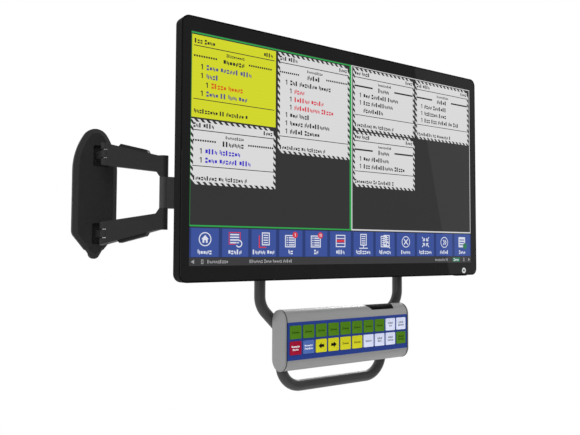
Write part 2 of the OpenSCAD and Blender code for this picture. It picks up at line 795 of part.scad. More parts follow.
module io_sockets() {
    back = board_y + board_t;
    color("gray") in_display() for (s = sockets) translate([s[0], back, hump_low]) difference() {
        box([0, 0, 0], [s[1], s[2], socket_l]);
        box([s[3], s[3], -over], [s[1] - s[3], s[2] - s[3], socket_l - socket_back]);
    }
}
module speakers() {
    color("black") in_display() both_sides() translate([speaker_x, chassis_back, speaker_z]) {
        difference() {
            along_y(0, speaker_d) round_rect(speaker_w, speaker_h, 5);
            rod_y(2 * cone_r, speaker_d - 3, speaker_d + over);
        }
        translate([0, speaker_d - 3, 0]) rotate([-90, 0, 0]) cylinder(r1 = cone_r - 3, r2 = 4, h = 2.5);
    }
}
module camera_module() {
    board = 1.2;
    color("darkgreen") in_display() translate([0, glass_t, camera_z]) {
        rod_y(lens_d, 0, lens_l);
        box([-camera_w / 2, lens_l, -camera_h / 2], [camera_w / 2, lens_l + board, camera_h / 2]);
        box([14, lens_l + board, -3], [24, camera_d, 3]);
    }
}

// Rear cover: a shallow dished shell, and the electronics housing behind it
module back_form(inset) {
    drawn = cover_in + back_taper + inset;
    hull() {
        along_y(side_d - inset, side_d + 0.5) outline(cover_in + inset, $fn = 32);
        along_y(flat_y - inset - 0.5, flat_y - inset) translate([0, disp_mid])
            round_rect(disp_w - 2 * drawn, disp_h - 2 * drawn, corner_r, $fn = 32);
    }
}
module hump_form(inset) {
    w = hump_w - 2 * inset;
    h = hump_h - 2 * inset;
    translate([0, 0, vesa_z]) hull() {
        along_y(flat_y - shell_t - inset, flat_y) round_rect(w, h, hump_r, $fn = 32);
        along_y(display_d - inset - 0.5, display_d - inset) translate([0, -hump_taper / 2])
            round_rect(w - 2 * hump_taper, h - hump_taper, hump_r, $fn = 32);
    }
}
// Cutter for one upright slot in the flat back
module slot_cut(w, h) { box([-w / 2, flat_y - shell_t - over, -h / 2], [w / 2, flat_y + over, h / 2]); }
module rear_cover() {
    color("black") in_display() difference() {
        union() {
            difference() {
                union() {
                    back_form(0);
                    hump_form(0);
                    along_y(chassis_back, side_d + over / 2) outline(chassis_in + fit);
                }
                back_form(shell_t);
                hump_form(shell_t);
                along_y(chassis_back - over, side_d + over) outline(chassis_in + fit + shell_t);
            }
            for (p = rear_holes) translate([p[0], 0, p[1]])
                rod_y(rear_boss_d, chassis_back, flat_y - shell_t / 2);
        }
        for (p = rear_holes) translate([p[0], 0, p[1]]) {
            rod_y(rear_screw_d + 2 * press, chassis_back - over, flat_y + over);
            rod_y(rear_screw_head + 1, flat_y - rear_sink, flat_y + over);
        }
        for (p = vesa_holes) translate([p[0], 0, p[1]])
            rod_y(vesa_hole_d, display_d - shell_t - over, display_d + over);
        box([sockets[0][0] - fit, board_y + board_t, hump_low - over],
            [socket_last[0] + socket_last[1] + fit, board_y + board_t + socket_depth + fit,
             hump_low + shell_t + over]);
        for (i = [0 : vents - 1]) translate([(i - (vents - 1) / 2) * vent_step, 0, vent_z])
            slot_cut(vent_w, vent_h);
        both_sides() for (i = [0 : grille - 1])
            translate([speaker_x + (i - (grille - 1) / 2) * grille_step, 0, speaker_z])
                slot_cut(grille_w, grille_h);
    }
}
module rear_screws() {
    color("silver") in_display() for (p = rear_holes) translate([p[0], 0, p[1]]) {
        rod_y(rear_screw_d, chassis_y, flat_y - rear_sink);
        rod_y(rear_screw_head, flat_y - rear_sink, flat_y - rear_sink + rear_head_t);
    }
}
module power_button() {
    seat = disp_bottom + button_lip;
    color("dimgray") in_display() {
        box([button_x - button_w / 2, button_y - button_t / 2, disp_bottom - button_out],
            [button_x + button_w / 2, button_y + button_t / 2, seat]);
        box([button_x - button_w / 2 - flange, button_y - button_t / 2 - flange, seat],
            [button_x + button_w / 2 + flange, button_y + button_t / 2 + flange, seat + flange_t]);
        translate([button_x, button_y, 0]) rod_z(5, seat, seat + flange_t + stem_h);
    }
}
module power_switch() {
    low = disp_bottom + button_lip + flange_t + stem_h + button_travel + stop_gap;
    color("darkgreen") in_display() translate([button_x, button_y, low]) {
        rod_z(3.5, 0, plunger_h + 0.5);
        box([-3, -3, plunger_h], [3, 3, plunger_h + switch_h]);
        box([-button_w / 2, -button_t / 2, plunger_h + switch_h],
            [button_w / 2, button_t / 2, plunger_h + switch_h + switch_board_t]);
    }
}

// Section of the key bar: straight front and back, full-round top and bottom
module bar_section(inset) {
    square([bar_d - 2 * inset, flat_h], center = true);
    for (s = [-1, 1]) translate([0, s * flat_h / 2]) circle(r = bar_d / 2 - inset);
}
// Cutter for the black port in the bar's top: its ends flare towards the back, the left one most
module port_block(gap) {
    right = bar_l / 2 - port_in;
    left = right - port_w;
    low = flat_h / 2 + port_low + gap;
    translate([0, 0, low]) linear_extrude(height = bar_h / 2 + over - low) polygon([
        [left + gap, face_y - over], [right - gap, face_y - over],
        [right + port_flare - gap, port_back - gap], [left - port_slant + gap, port_back - gap]]);
}
module bar_housing() {
    color("silver") in_bar() difference() {
        along_x(-bar_l / 2, bar_l / 2) difference() {
            union() {
                difference() {
                    bar_section(0);
                    bar_section(bar_wall);
                    translate([face_y - over, -flat_h / 2]) square([over + bar_wall + 0.2, flat_h]);
                }
                intersection() {
                    bar_section(0);
                    for (s = [0, 1]) mirror([0, s]) {
                        translate([inside_y, flat_h / 2 - ledge]) square([rib_t, ledge + 8]);
                        for (y = [key_board_y - rib_t - 0.1, key_board_y + key_board_t + 0.1])
                            translate([y, key_board_h / 2 - 3]) square([rib_t, bar_d / 2]);
                        translate(peg_at) circle(d = screw_port_d);
                    }
                }
            }
            for (s = [0, 1]) mirror([0, s]) translate(peg_at) circle(d = peg_d);
        }
        port_block(0);
        for (c = [-1, 1], s = [-1, 1]) translate([c * low_x + s * clamp_screw_x, 0, clamp_z - bar_z])
            rod_y(clamp_screw_d + 2 * press, bar_d / 2 - bar_wall - over, bar_d / 2 + over);
    }
}
module port_cover() {
    color("black") in_bar() intersection() {
        along_x(-bar_l / 2, bar_l / 2) difference() {
            bar_section(0.1);
            bar_section(bar_wall);
        }
        port_block(0.15);
    }
}
module bar_gaskets() {
    color("black") in_bar() both_sides() along_x(bar_l / 2, bar_l / 2 + gasket_t) difference() {
        bar_section(-0.2);
        bar_section(bar_wall);
    }
}
module end_caps() {
    from = bar_l / 2 + gasket_t;
    color("silver") in_bar() both_sides() {
        along_x(from, from + cap_t) bar_section(0);
        both_ways() translate([0, peg_at[0], peg_at[1]])
            rod_x(peg_d - 2 * running, from - gasket_t - peg_l, from);
    }
}
module key_panel() {
    color("mediumblue") in_bar() difference() {
        along_y(face_y, inside_y) square([bar_l, flat_h], center = true);
        for (i = [0 : 2 * key_cols - 1]) translate([key_place(i)[0], 0, key_place(i)[1]])
            along_y(face_y - over, inside_y + over)
                round_rect(key_w + 2 * key_window_gap, key_h + 2 * key_window_gap, 1.5);
    }
}
module dome_mat() {
    color("lightgray") in_bar() {
        along_y(mat_y, mat_y + mat_t) square([bar_l - 5, flat_h - 6], center = true);
        for (i = [0 : 2 * key_cols - 1]) translate([key_place(i)[0], mat_y - dome_h, key_place(i)[1]])
            rotate([-90, 0, 0]) cylinder(r1 = 3, r2 = 5, h = dome_h + mat_t / 2);
    }
}
module key_board() {
    color("darkgreen") in_bar() along_y(key_board_y, key_board_y + key_board_t)
        square([bar_l - 3, key_board_h], center = true);
}
module key(i) {
    colours = ["yellowgreen", "white", "crimson", "cornflowerblue", "yellow"];
    // Column by column, the colour of each key in the upper and in the lower row
    upper = [0, 0, 0, 0, 0, 0, 0, 0, 1, 1];
    lower = [2, 3, 4, 4, 4, 4, 1, 1, 1, 0];
    color(colours[i < key_cols ? upper[i] : lower[i - key_cols]])
        in_bar() translate([key_place(i)[0], 0, key_place(i)[1]]) {
            along_y(face_y - key_proud, inside_y) round_rect(key_w, key_h, 1.4);
            along_y(inside_y, inside_y + key_flange_t)
                square([key_w + 2 * key_flange, key_h + 2 * key_flange], center = true);
            rod_y(6, inside_y, inside_y + key_flange_t + plunger_l);
        }
}
module bar_clamps() {
    back = bar_set + bar_d;
    color("dimgray") in_display() for (c = [-1, 1]) translate([c * low_x, 0, clamp_z]) difference() {
        union() {
            translate([0, tube_y, 0]) rod_z(tube_d + 2 * clamp_wall, -clamp_h / 2, clamp_h / 2);
            box([-clamp_w / 2, back, -clamp_h / 2], [clamp_w / 2, back + clamp_t, clamp_h / 2]);
        }
        translate([0, tube_y, 0]) rod_z(tube_d + 2 * running, -clamp_h, clamp_h);
        box([-clamp_w, back - 2 * clamp_t, -clamp_h], [clamp_w, back, clamp_h]);
        for (s = [-1, 1]) translate([s * clamp_screw_x, 0, 0])
            rod_y(clamp_screw_d + 2 * fit, back - over, back + clamp_t + over);
    }
}
module clamp_screws() {
    seat = bar_set + bar_d + clamp_t;
    color("silver") in_display() for (c = [-1, 1], s = [-1, 1])
        translate([c * low_x + s * clamp_screw_x, 0, clamp_z]) {
            rod_y(clamp_screw_d, seat - clamp_screw_l, seat);
            rod_y(clamp_head_d, seat, seat + clamp_head_t);
        }
}

wall_plate();
wall_cover();
upper_arm();
lower_arm();
cable_covers();
wall_pins();
wall_washers();
elbow_pin();
link_arm();
swivel_head();
swivel_pin();
tilt_bracket();
tilt_bolt();
tilt_knob();
vesa_plate();
vesa_screws();
frame_plate();
tube_frame();
front_frame();
cover_glass();
lcd_panel();
chassis_plate();
main_board();
heat_sink();
io_sockets();
speakers();
camera_module();
rear_cover();
rear_screws();
power_switch();
power_button();
bar_housing();
end_caps();
bar_gaskets();
key_panel();
dome_mat();
key_board();
port_cover();
bar_clamps();
clamp_screws();
for (i = [0 : 2 * key_cols - 1]) key(i);
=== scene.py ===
"""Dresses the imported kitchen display: finishes, lit screen, key caps, bent tube, screws and the studio."""

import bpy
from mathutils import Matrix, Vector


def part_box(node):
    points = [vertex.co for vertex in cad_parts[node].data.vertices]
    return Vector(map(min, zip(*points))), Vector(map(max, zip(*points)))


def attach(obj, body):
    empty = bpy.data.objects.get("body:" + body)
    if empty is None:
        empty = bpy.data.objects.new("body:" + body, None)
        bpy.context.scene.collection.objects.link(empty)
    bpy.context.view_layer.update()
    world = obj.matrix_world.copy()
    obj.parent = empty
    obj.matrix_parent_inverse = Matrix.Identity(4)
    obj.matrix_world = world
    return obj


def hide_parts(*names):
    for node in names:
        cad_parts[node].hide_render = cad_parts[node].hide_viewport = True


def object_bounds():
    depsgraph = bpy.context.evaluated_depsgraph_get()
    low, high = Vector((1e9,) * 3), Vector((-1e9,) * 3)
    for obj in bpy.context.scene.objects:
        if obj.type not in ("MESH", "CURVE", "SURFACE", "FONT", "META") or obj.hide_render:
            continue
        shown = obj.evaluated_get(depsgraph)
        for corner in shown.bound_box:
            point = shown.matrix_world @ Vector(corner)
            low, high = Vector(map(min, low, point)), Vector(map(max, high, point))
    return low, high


bl_info = {
    "name": "Kitchen display with key bar",
    "version": (1, 0, 0),
    "blender": (4, 5, 0),
    "location": "3D View > Sidebar > Kitchen display",
    "description": "Finishes, screen picture, key caps, tube and screws of a wall-hung kitchen display",
    "category": "Add Mesh",
}

import math

import bmesh
import bpy
from bpy.props import FloatProperty, FloatVectorProperty, PointerProperty
from mathutils import Matrix, Vector

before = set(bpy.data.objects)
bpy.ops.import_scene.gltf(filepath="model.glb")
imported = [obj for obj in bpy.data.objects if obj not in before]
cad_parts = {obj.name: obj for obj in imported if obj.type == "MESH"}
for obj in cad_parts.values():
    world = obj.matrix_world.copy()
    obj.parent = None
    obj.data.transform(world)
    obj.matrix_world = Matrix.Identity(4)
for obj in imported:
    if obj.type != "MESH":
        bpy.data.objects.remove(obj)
CAD_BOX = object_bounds()
MM = 0.001

# Places that the pieces share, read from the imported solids
GLASS_LOW, GLASS_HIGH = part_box("cover_glass")
PANEL_LOW, PANEL_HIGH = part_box("lcd_panel")
# Middle of the lit area, on the front of the glass: X right, Y into the display, Z up
SCREEN = Vector(((GLASS_LOW.x + GLASS_HIGH.x) / 2, GLASS_LOW.y, (PANEL_LOW.z + PANEL_HIGH.z) / 2))
KEYS = [f"key_{i:02d}" for i in range(1, 21)]
# Size of the image in pixels, and two spots of it: along the line through them the glass starts to mirror the
# paler part of the room
IMAGE = (580, 435)
BAND_TOP = (415.5, 74)
BAND_FOOT = (448.5, 268)
# Edges that turn more than this stay sharp, on moulded pieces and on the tube
MOULDED_EDGE, TUBE_EDGE = math.radians(32), math.radians(40)
# Part of a noise's range that carries its pattern, and depth of the relief at full strength
NOISE_SPAN = (0.3, 0.7)
RELIEF = 0.15 * MM


def linear(code):
    """Linear colour of an sRGB hex value."""
    values = [int(code[i:i + 2], 16) / 255 for i in (1, 3, 5)]
    return tuple(v / 12.92 if v <= 0.04045 else ((v + 0.055) / 1.055) ** 2.4 for v in values)


def colour_prop(name, description, code):
    return FloatVectorProperty(name=name, description=description, subtype="COLOR", size=3,
                               min=0.0, max=1.0, default=linear(code))


def length_prop(name, description, millimetres):
    return FloatProperty(name=name, description=description, subtype="DISTANCE", unit="LENGTH",
                         min=0.0, default=millimetres * MM, precision=5)


def power_prop(name, description, watts):
    return FloatProperty(name=name, description=description, subtype="POWER", default=watts)


class ScreenLook(bpy.types.PropertyGroup):
    """Sizes and colours of the lit picture and the glass"""
    lit_width: length_prop("Lit width", "Width of the lit area", 527)
    lit_height: length_prop("Lit height", "Height of the lit area", 296.5)
    corner: length_prop("Glass corner", "Corner radius of the cover glass", 9.3)
    recess: length_prop("Picture depth", "How far the picture lies behind the glass front", 0.3)
    layer: length_prop("Layer step", "Step between two layers of the picture", 0.04)
    ground: colour_prop("Ground", "Dark ground behind the tickets", "#333333")
    paper: colour_prop("Paper", "Ticket that is still waiting", "#dededf")
    marked: colour_prop("Marked paper", "Ticket that is picked out", "#d6db2a")
    button: colour_prop("Button", "Touch button along the lower edge", "#3c539c")
    button_edge: colour_prop("Button gap", "Strip between two touch buttons", "#2c3e78")
    active_line: colour_prop("Active line", "Frame round the half in use", "#2fa750")
    quiet_line: colour_prop("Quiet line", "Frame round the other half", "#d8d8da")
    ink: colour_prop("Ink", "Dark marks on the tickets", "#262628")
    violet_ink: colour_prop("Violet ink", "Marks of new dishes", "#3a2fc4")
    slate_ink: colour_prop("Slate ink", "Marks of dishes on the marked ticket", "#55558c")
    red_ink: colour_prop("Red ink", "Marks of changes to a dish", "#d83a48")
    orange_ink: colour_prop("Orange ink", "Marks of changes on the marked ticket", "#d8601c")
    icon: colour_prop("Icon", "White signs on the touch buttons", "#dfe3f0")
    status: colour_prop("Status strip", "Strip under the touch buttons", "#3c3c3e")
    status_ink: colour_prop("Status marks", "Marks in the status strip", "#a2a2a5")
    status_tag: colour_prop("Status tag", "Green tag in the status strip", "#2d7a58")


class BarLook(bpy.types.PropertyGroup):
    """Sizes and colours of the key bar"""
    key_edge: length_prop("Key edge", "Rounding of a key cap's edge", 0.45)
    key_rim: length_prop("Key rim", "Raised rim round a key cap's face", 0.9)
    key_dish: length_prop("Key dish", "Depth of a key cap's face below its rim", 0.12)
    cap_round: length_prop("End cap rounding", "Rounding of the end caps' outer edge", 1.6)
    green: colour_prop("Green keys", "Key cap plastic", "#4a7816")
    white: colour_prop("White keys", "Key cap plastic", "#d2d8f0")
    red: colour_prop("Red key", "Key cap plastic", "#991030")
    blue: colour_prop("Light blue key", "Key cap plastic", "#4c68ab")
    yellow: colour_prop("Yellow keys", "Key cap plastic", "#cbc822")
    panel: colour_prop("Key panel", "Printed panel round the keys", "#183582")
    silver: colour_prop("Silver", "Lacquer of the bar and its end caps", "#939394")


class TubeLook(bpy.types.PropertyGroup):
    """Sizes and colour of the bent tube"""
    diameter: length_prop("Tube diameter", "Outer diameter of the tube", 16)
    wall: length_prop("Tube wall", "Wall of the tube", 1.5)
    bend: length_prop("Bend radius", "Radius of the tube's middle line in a bend", 33)
    upper_reach: length_prop("Upper legs", "Distance of the upper legs from the middle", 132.5)
    lower_reach: length_prop("Lower legs", "Distance of the lower legs from the middle", 96)
    jog_top: length_prop("Jog drop", "Corner above the jog, below the lit middle", 206.75)
    jog_height: length_prop("Jog height", "Height between the two corners of the jog", 36.5)
    colour: colour_prop("Tube paint", "Stoved enamel on the tube", "#3b3b3c")


class StageLook(bpy.types.PropertyGroup):
    """Camera, floor and light of the studio"""
    lens: FloatProperty(name="Lens", description="Focal length for a 36 mm wide image",
                        subtype="DISTANCE_CAMERA", default=40.176)
    camera_place: FloatVectorProperty(name="Camera", description="Camera's place from the lit area's middle",
                                      subtype="TRANSLATION", unit="LENGTH",
                                      default=(-0.6186, -0.7305, -0.1268))
    floor_drop: FloatProperty(name="Floor", description="Height of the floor in the wall plate's frame",
                              subtype="DISTANCE", unit="LENGTH", default=-0.95)
    floor_size: length_prop("Floor radius", "Radius of the round floor", 1400)
    paper: colour_prop("Floor colour", "Pale studio floor", "#dadada")
    key_power: power_prop("Key light", "Power of the soft light from the upper left", 24.0)
    fill_power: power_prop("Fill light", "Power of the soft light from the right", 16.5)
    side_power: power_prop("Side light", "Power of the soft light from the left", 5.5)
    back_power: power_prop("Back light", "Power of the soft light behind the wall side", 34.0)
    rim_power: power_prop("Rim light", "Power of the small light behind the display", 6.5)
    room: FloatProperty(name="Room light", description="Strength of the even light from the room",
                        default=0.69)


class KitchenDisplayLook(bpy.types.PropertyGroup):
    """Everything that can be changed on the dressed display"""
    screen: PointerProperty(type=ScreenLook)
    bar: PointerProperty(type=BarLook)
    tube: PointerProperty(type=TubeLook)
    stage: PointerProperty(type=StageLook)


def look():
    return bpy.context.scene.kitchen_display


# Node and mesh helpers

def add(tree, kind, values=None, links=None, **settings):
    """Adds one node to a tree, sets its settings and input values, and links sockets into it."""
    made = tree.nodes.new(kind)
    for key, value in settings.items():
        setattr(made, key, value)
    for key, value in (values or {}).items():
        made.inputs[key].default_value = value
    for key, socket in (links or {}).items():
        tree.links.new(socket, made.inputs[key])
    return made


def start_finish(name, colour, values):
    """A new material with one Principled shader; gives it with its tree, shader and Object coordinates."""
    made = bpy.data.materials.new(name)
    made.use_nodes = True
    made.diffuse_color = (*colour, 1.0)
    tree = made.node_tree
    tree.nodes.clear()
    shader = add(tree, "ShaderNodeBsdfPrincipled", {"Base Color": (*colour, 1.0), **values})
    add(tree, "ShaderNodeOutputMaterial", links={"Surface": shader.outputs["BSDF"]})
    place = add(tree, "ShaderNodeTexCoord").outputs["Object"]
    return made, tree, shader, place


def shade_of(colour, factor):
    return (*(min(1.0, c * factor) for c in colour), 1.0)


def vary(tree, shader, place, colour, grain, spread, rough, bump):
    """Lets one noise of a given grain size, in millimetres, drive colour, roughness and bump."""
    noise = add(tree, "ShaderNodeTexNoise", {"Scale": 1 / (grain * MM), "Detail": 3.0, "Roughness": 0.55},
                {"Vector": place}).outputs["Fac"]
    ramp = add(tree, "ShaderNodeValToRGB", links={"Fac": noise})
    for stop, position, factor in zip(ramp.color_ramp.elements, NOISE_SPAN, (1 - spread, 1 + spread)):
        stop.position, stop.color = position, shade_of(colour, factor)
    tree.links.new(ramp.outputs["Color"], shader.inputs["Base Color"])
    gloss = add(tree, "ShaderNodeMapRange", {"From Min": NOISE_SPAN[0], "From Max": NOISE_SPAN[1],
                                             "To Min": rough[0], "To Max": rough[1]}, {"Value": noise})
    tree.links.new(gloss.outputs["Result"], shader.inputs["Roughness"])
    if bump:
        relief = add(tree, "ShaderNodeBump", {"Strength": bump, "Distance": RELIEF}, {"Height": noise})
        tree.links.new(relief.outputs["Normal"], shader.inputs["Normal"])


def grained(name, colour, values, **pattern):
    """A new material whose colour, roughness and relief follow one noise."""
    tree, shader, place = start_finish(name, colour, values)[1:]
    vary(tree, shader, place, colour, **pattern)


# Finishes, one function for each real material

def moulded_abs(name, colour, rough=(0.48, 0.6), shine=0.15):
    """ABS moulded in a spark-eroded tool: an even fine grain that breaks the sheen.
    The real grain is about 0.3 mm; it is drawn at 1.6 mm, or it wouldn't show."""
    grained(name, colour, {"IOR": 1.5, "Specular IOR Level": shine},
            grain=1.6, spread=0.10, rough=rough, bump=0.25)


def powder_coat(name, colour):
    """Powder coat on cast aluminium and steel: a soft orange peel about 2 mm wide."""
    grained(name, colour, {"IOR": 1.5, "Specular IOR Level": 0.2},
            grain=2.2, spread=0.14, rough=(0.46, 0.62), bump=0.35)


def stoved_enamel(name, colour):
    """Stoved enamel on steel tube and plate: satin, with faint soft waves about 6 mm apart."""
    grained(name, colour, {"IOR": 1.5, "Specular IOR Level": 0.4},
            grain=6.0, spread=0.06, rough=(0.34, 0.44), bump=0.12)


def silver_lacquer(name, colour):
    """Silver lacquer on an extrusion: fine flakes give a soft metal sheen, and faint die lines run along it.
    Real die lines are finer than 0.1 mm; they are drawn 0.8 mm wide."""
    tree, shader, place = start_finish(name, colour, {"Metallic": 0.25})[1:]
    drawn = add(tree, "ShaderNodeMapping", {"Scale": (0.02, 1.0, 1.0)}, {"Vector": place}).outputs["Vector"]
    vary(tree, shader, drawn, colour, grain=0.8, spread=0.035, rough=(0.38, 0.42), bump=0.015)


def printed_glass(name, colour):
    """Toughened glass with a black print on its back: deep black under a clear polished face."""
    grained(name, colour, {"IOR": 1.5, "Specular IOR Level": 0.0, "Coat Weight": 1.0, "Coat Roughness": 0.0},
            grain=40.0, spread=0.05, rough=(0.28, 0.34), bump=0.0)


def lit_picture(name, colour):
    """Light of the display panel under bonded glass: the colour glows evenly, with a faint row structure.
    Real pixel rows are 0.27 mm apart; they are drawn 4.7 mm apart, and only 1.5 percent deep."""
    row_step, dip = 4.737 * MM, 0.015
    made, tree, shader, place = start_finish(name, (0.0, 0.0, 0.0), {
        "Roughness": 0.5, "Specular IOR Level": 0.0, "Coat Weight": 1.0, "Coat Roughness": 0.0,
        "Emission Strength": 1.0})
    # At scale 1 the bands of a wave texture lie a twentieth of a full turn apart
    rows = add(tree, "ShaderNodeTexWave", {"Scale": math.tau / 20 / row_step, "Distortion": 0.0},
               {"Vector": place}, wave_type="BANDS", bands_direction="Z")
    ramp = add(tree, "ShaderNodeValToRGB", links={"Fac": rows.outputs["Fac"]})
    for stop, factor in zip(ramp.color_ramp.elements, (1 - dip, 1.0)):
        stop.color = shade_of(colour, factor)
    tree.links.new(ramp.outputs["Color"], shader.inputs["Emission Color"])
    made.diffuse_color = (*colour, 1.0)


def printed_film(name, colour):
    """Polyester film printed on its back: even colour under a finely textured matt face, grain about 1 mm."""
    grained(name, colour, {"IOR": 1.57, "Specular IOR Level": 0.25},
            grain=1.2, spread=0.04, rough=(0.38, 0.48), bump=0.12)


def key_plastic(name, colour):
    """Key caps and prints under a clear lid: clean colour, soft gloss, hardly any grain."""
    grained(name, colour, {"IOR": 1.49, "Specular IOR Level": 0.08},
            grain=3.0, spread=0.03, rough=(0.30, 0.38), bump=0.05)


def rubber(name, colour):
    """Moulded rubber: dull, with a dusty bloom in patches a few millimetres wide."""
    grained(name, colour, {"IOR": 1.52, "Specular IOR Level": 0.25},
            grain=3.5, spread=0.15, rough=(0.66, 0.82), bump=0.2)


def plated_steel(name, colour, rough=(0.24, 0.38)):
    """Plated or bare metal of pins, screws, sheet and heat sink: cloudy patches about 5 mm wide."""
    grained(name, colour, {"Metallic": 1.0}, grain=5.0, spread=0.08, rough=rough, bump=0.05)


def circuit_board(name, colour):
    """Solder mask on glass laminate: glossy green with darker tracks.
    Real tracks are finer than 0.5 mm; they are drawn as square patches in cells 6 mm wide."""
    tree, shader, place = start_finish(name, colour, {
        "IOR": 1.55, "Roughness": 0.35, "Coat Weight": 0.4, "Coat Roughness": 0.1})[1:]
    tracks = add(tree, "ShaderNodeTexVoronoi", {"Scale": 1 / (6 * MM)}, {"Vector": place},
                 distance="CHEBYCHEV")
    ramp = add(tree, "ShaderNodeValToRGB", links={"Fac": tracks.outputs["Distance"]})
    ramp.color_ramp.interpolation = "CONSTANT"
    for stop, position, factor in zip(ramp.color_ramp.elements, (0.0, 0.35), (0.7, 1.1)):
        stop.position, stop.color = position, shade_of(colour, factor)
    tree.links.new(ramp.outputs["Color"], shader.inputs["Base Color"])


def finished(name):
    return bpy.data.materials[name]


def piece(name, mesh, materials, body):
    """Links a mesh as a piece that rides on a body and takes a slot's finish."""
    made = bpy.data.objects.new(name, mesh)
    bpy.context.scene.collection.objects.link(made)
    for material in materials:
        mesh.materials.append(finished(material))
    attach(made, body)
    return made


def mesh_object(name, bm, materials, body, smooth=False):
    """Turns a bmesh in place into a piece."""
    mesh = bpy.data.meshes.new(name)
    bm.to_mesh(mesh)
    bm.free()
    if smooth:
        mesh.shade_smooth()
        mesh.set_sharp_from_angle(angle=MOULDED_EDGE)
    return piece(name, mesh, materials, body)


def round_rect(width, height, radius, steps=6):
    """Points of a rounded rectangle about its middle, counter-clockwise."""
    points = []
    for cx, cy, first in ((1, 1, 0), (-1, 1, 90), (-1, -1, 180), (1, -1, 270)):
        for i in range(steps + 1):
            turn = math.radians(first + 90 * i / steps)
            points.append((cx * (width / 2 - radius) + radius * math.cos(turn),
                           cy * (height / 2 - radius) + radius * math.sin(turn)))
    return points


def loft(bm, rings, close=True):
    """Skins equal rings of 3-D points, and may close the first and last ring; gives their vertices."""
    rows = [[bm.verts.new(p) for p in ring] for ring in rings]
    count = len(rows[0])
    for low, high in zip(rows, rows[1:]):
        for i in range(count):
            j = (i + 1) % count
            bm.faces.new((low[i], low[j], high[j], high[i]))
    if close:
        bm.faces.new(list(reversed(rows[0])))
        bm.faces.new(rows[-1])
    return rows


# Five cells of blocks for greeked words: left, foot, right and head of each block, in shares of its cell
GREEK_CELLS = (
    ((0.0, 0.0, 0.52, 1.0),),
    ((0.0, 0.0, 0.74, 0.38), (0.0, 0.62, 0.74, 1.0)),
    ((0.0, 0.0, 0.3, 0.76), (0.44, 0.24, 0.74, 1.0)),
    ((0.0, 0.24, 0.3, 1.0), (0.44, 0.0, 0.74, 0.76)),
    ((0.0, 0.16, 0.74, 0.84),),
)


class Picture:
    """Flat marks on an upright plane that faces -Y, drawn in millimetres about a middle.
    Each has a layer, counted in steps towards the viewer, and the index of its material."""

    def __init__(self, bm, middle, step, scale=1.0):
        self.bm = bm
        self.middle = middle
        self.step = step
        self.unit = scale * MM

    def shape(self, points, layer, index):
        verts = [self.bm.verts.new((self.middle.x + u * self.unit, self.middle.y - layer * self.step,
                                    self.middle.z + v * self.unit)) for u, v in points]
        face = self.bm.faces.new(verts)
        face.normal_update()
        if face.normal.y > 0:
            face.normal_flip()
        face.material_index = index

    def bar(self, u0, v0, u1, v1, layer, index):
        self.shape([(u0, v0), (u1, v0), (u1, v1), (u0, v1)], layer, index)

    def frame(self, u0, v0, u1, v1, widths, layer, index):
        """A frame; its line has one width, or four: at the foot, head, left and right."""
        foot, head, left, right = widths if isinstance(widths, tuple) else (widths,) * 4
        self.bar(u0, v0, u1, v0 + foot, layer, index)
        self.bar(u0, v1 - head, u1, v1, layer, index)
        self.bar(u0, v0 + foot, u0 + left, v1 - head, layer, index)
        self.bar(u1 - right, v0 + foot, u1, v1 - head, layer, index)

    def lines(self, u0, u1, low, high, step, count, layer, index):
        """Equal bars under each other."""
        for i in range(count):
            self.bar(u0, low - i * step, u1, high - i * step, layer, index)

    def ring(self, u, v, outer, inner, layer, index, steps=28, first=0.0, last=360.0):
        turns = [math.radians(first + (last - first) * i / steps) for i in range(steps + 1)]
        for a, b in zip(turns, turns[1:]):
            self.shape([(u + r * math.cos(t), v + r * math.sin(t))
                        for r, t in ((inner, a), (outer, a), (outer, b), (inner, b))], layer, index)

    def disc(self, u, v, radius, layer, index, steps=28):
        turns = [math.tau * i / steps for i in range(steps)]
        self.shape([(u + radius * math.cos(t), v + radius * math.sin(t)) for t in turns], layer, index)

    def stroke(self, u0, v0, u1, v1, width, layer, index):
        along = Vector((u1 - u0, v1 - v0)).normalized() * width / 2
        side = Vector((-along.y, along.x))
        self.shape([(u0 + side.x, v0 + side.y), (u0 - side.x, v0 - side.y),
                    (u1 - side.x, v1 - side.y), (u1 + side.x, v1 + side.y)], layer, index)

    def words(self, u, v, lengths, cap, layer, index, align=0.0):
        """A greeked line: each word is a row of small blocks, one cell for a letter, and none is a letter."""
        cell, space, small = cap * 0.66, cap * 0.37, cap * 0.78
        at = u - align * (sum(lengths) * cell + (len(lengths) - 1) * space)
        foot = v - cap / 2
        # The place of the line picks its first cell, so that lines differ
        kind = round(abs(3 * u + 5 * v)) % len(GREEK_CELLS)
        for length in lengths:
            for place in range(length):
                kind = (kind * 7 + place * 3 + length) % len(GREEK_CELLS)
                tall = cap if place == 0 or kind == 0 else small
                for u0, v0, u1, v1 in GREEK_CELLS[kind]:
                    self.bar(at + u0 * cell, foot + v0 * tall, at + u1 * cell, foot + v1 * tall,
                             layer, index)
                at += cell
            at += space

    def numeral_one(self, u, v, cap, layer, index):
        line, flag = cap * 0.2, cap * 0.22
        self.bar(u, v - cap / 2, u + line, v + cap / 2, layer, index)
        self.shape([(u, v + cap / 2), (u, v + cap * 0.3),
                    (u - flag, v + cap * 0.16), (u - flag, v + cap * 0.3)], layer, index)


# Pieces

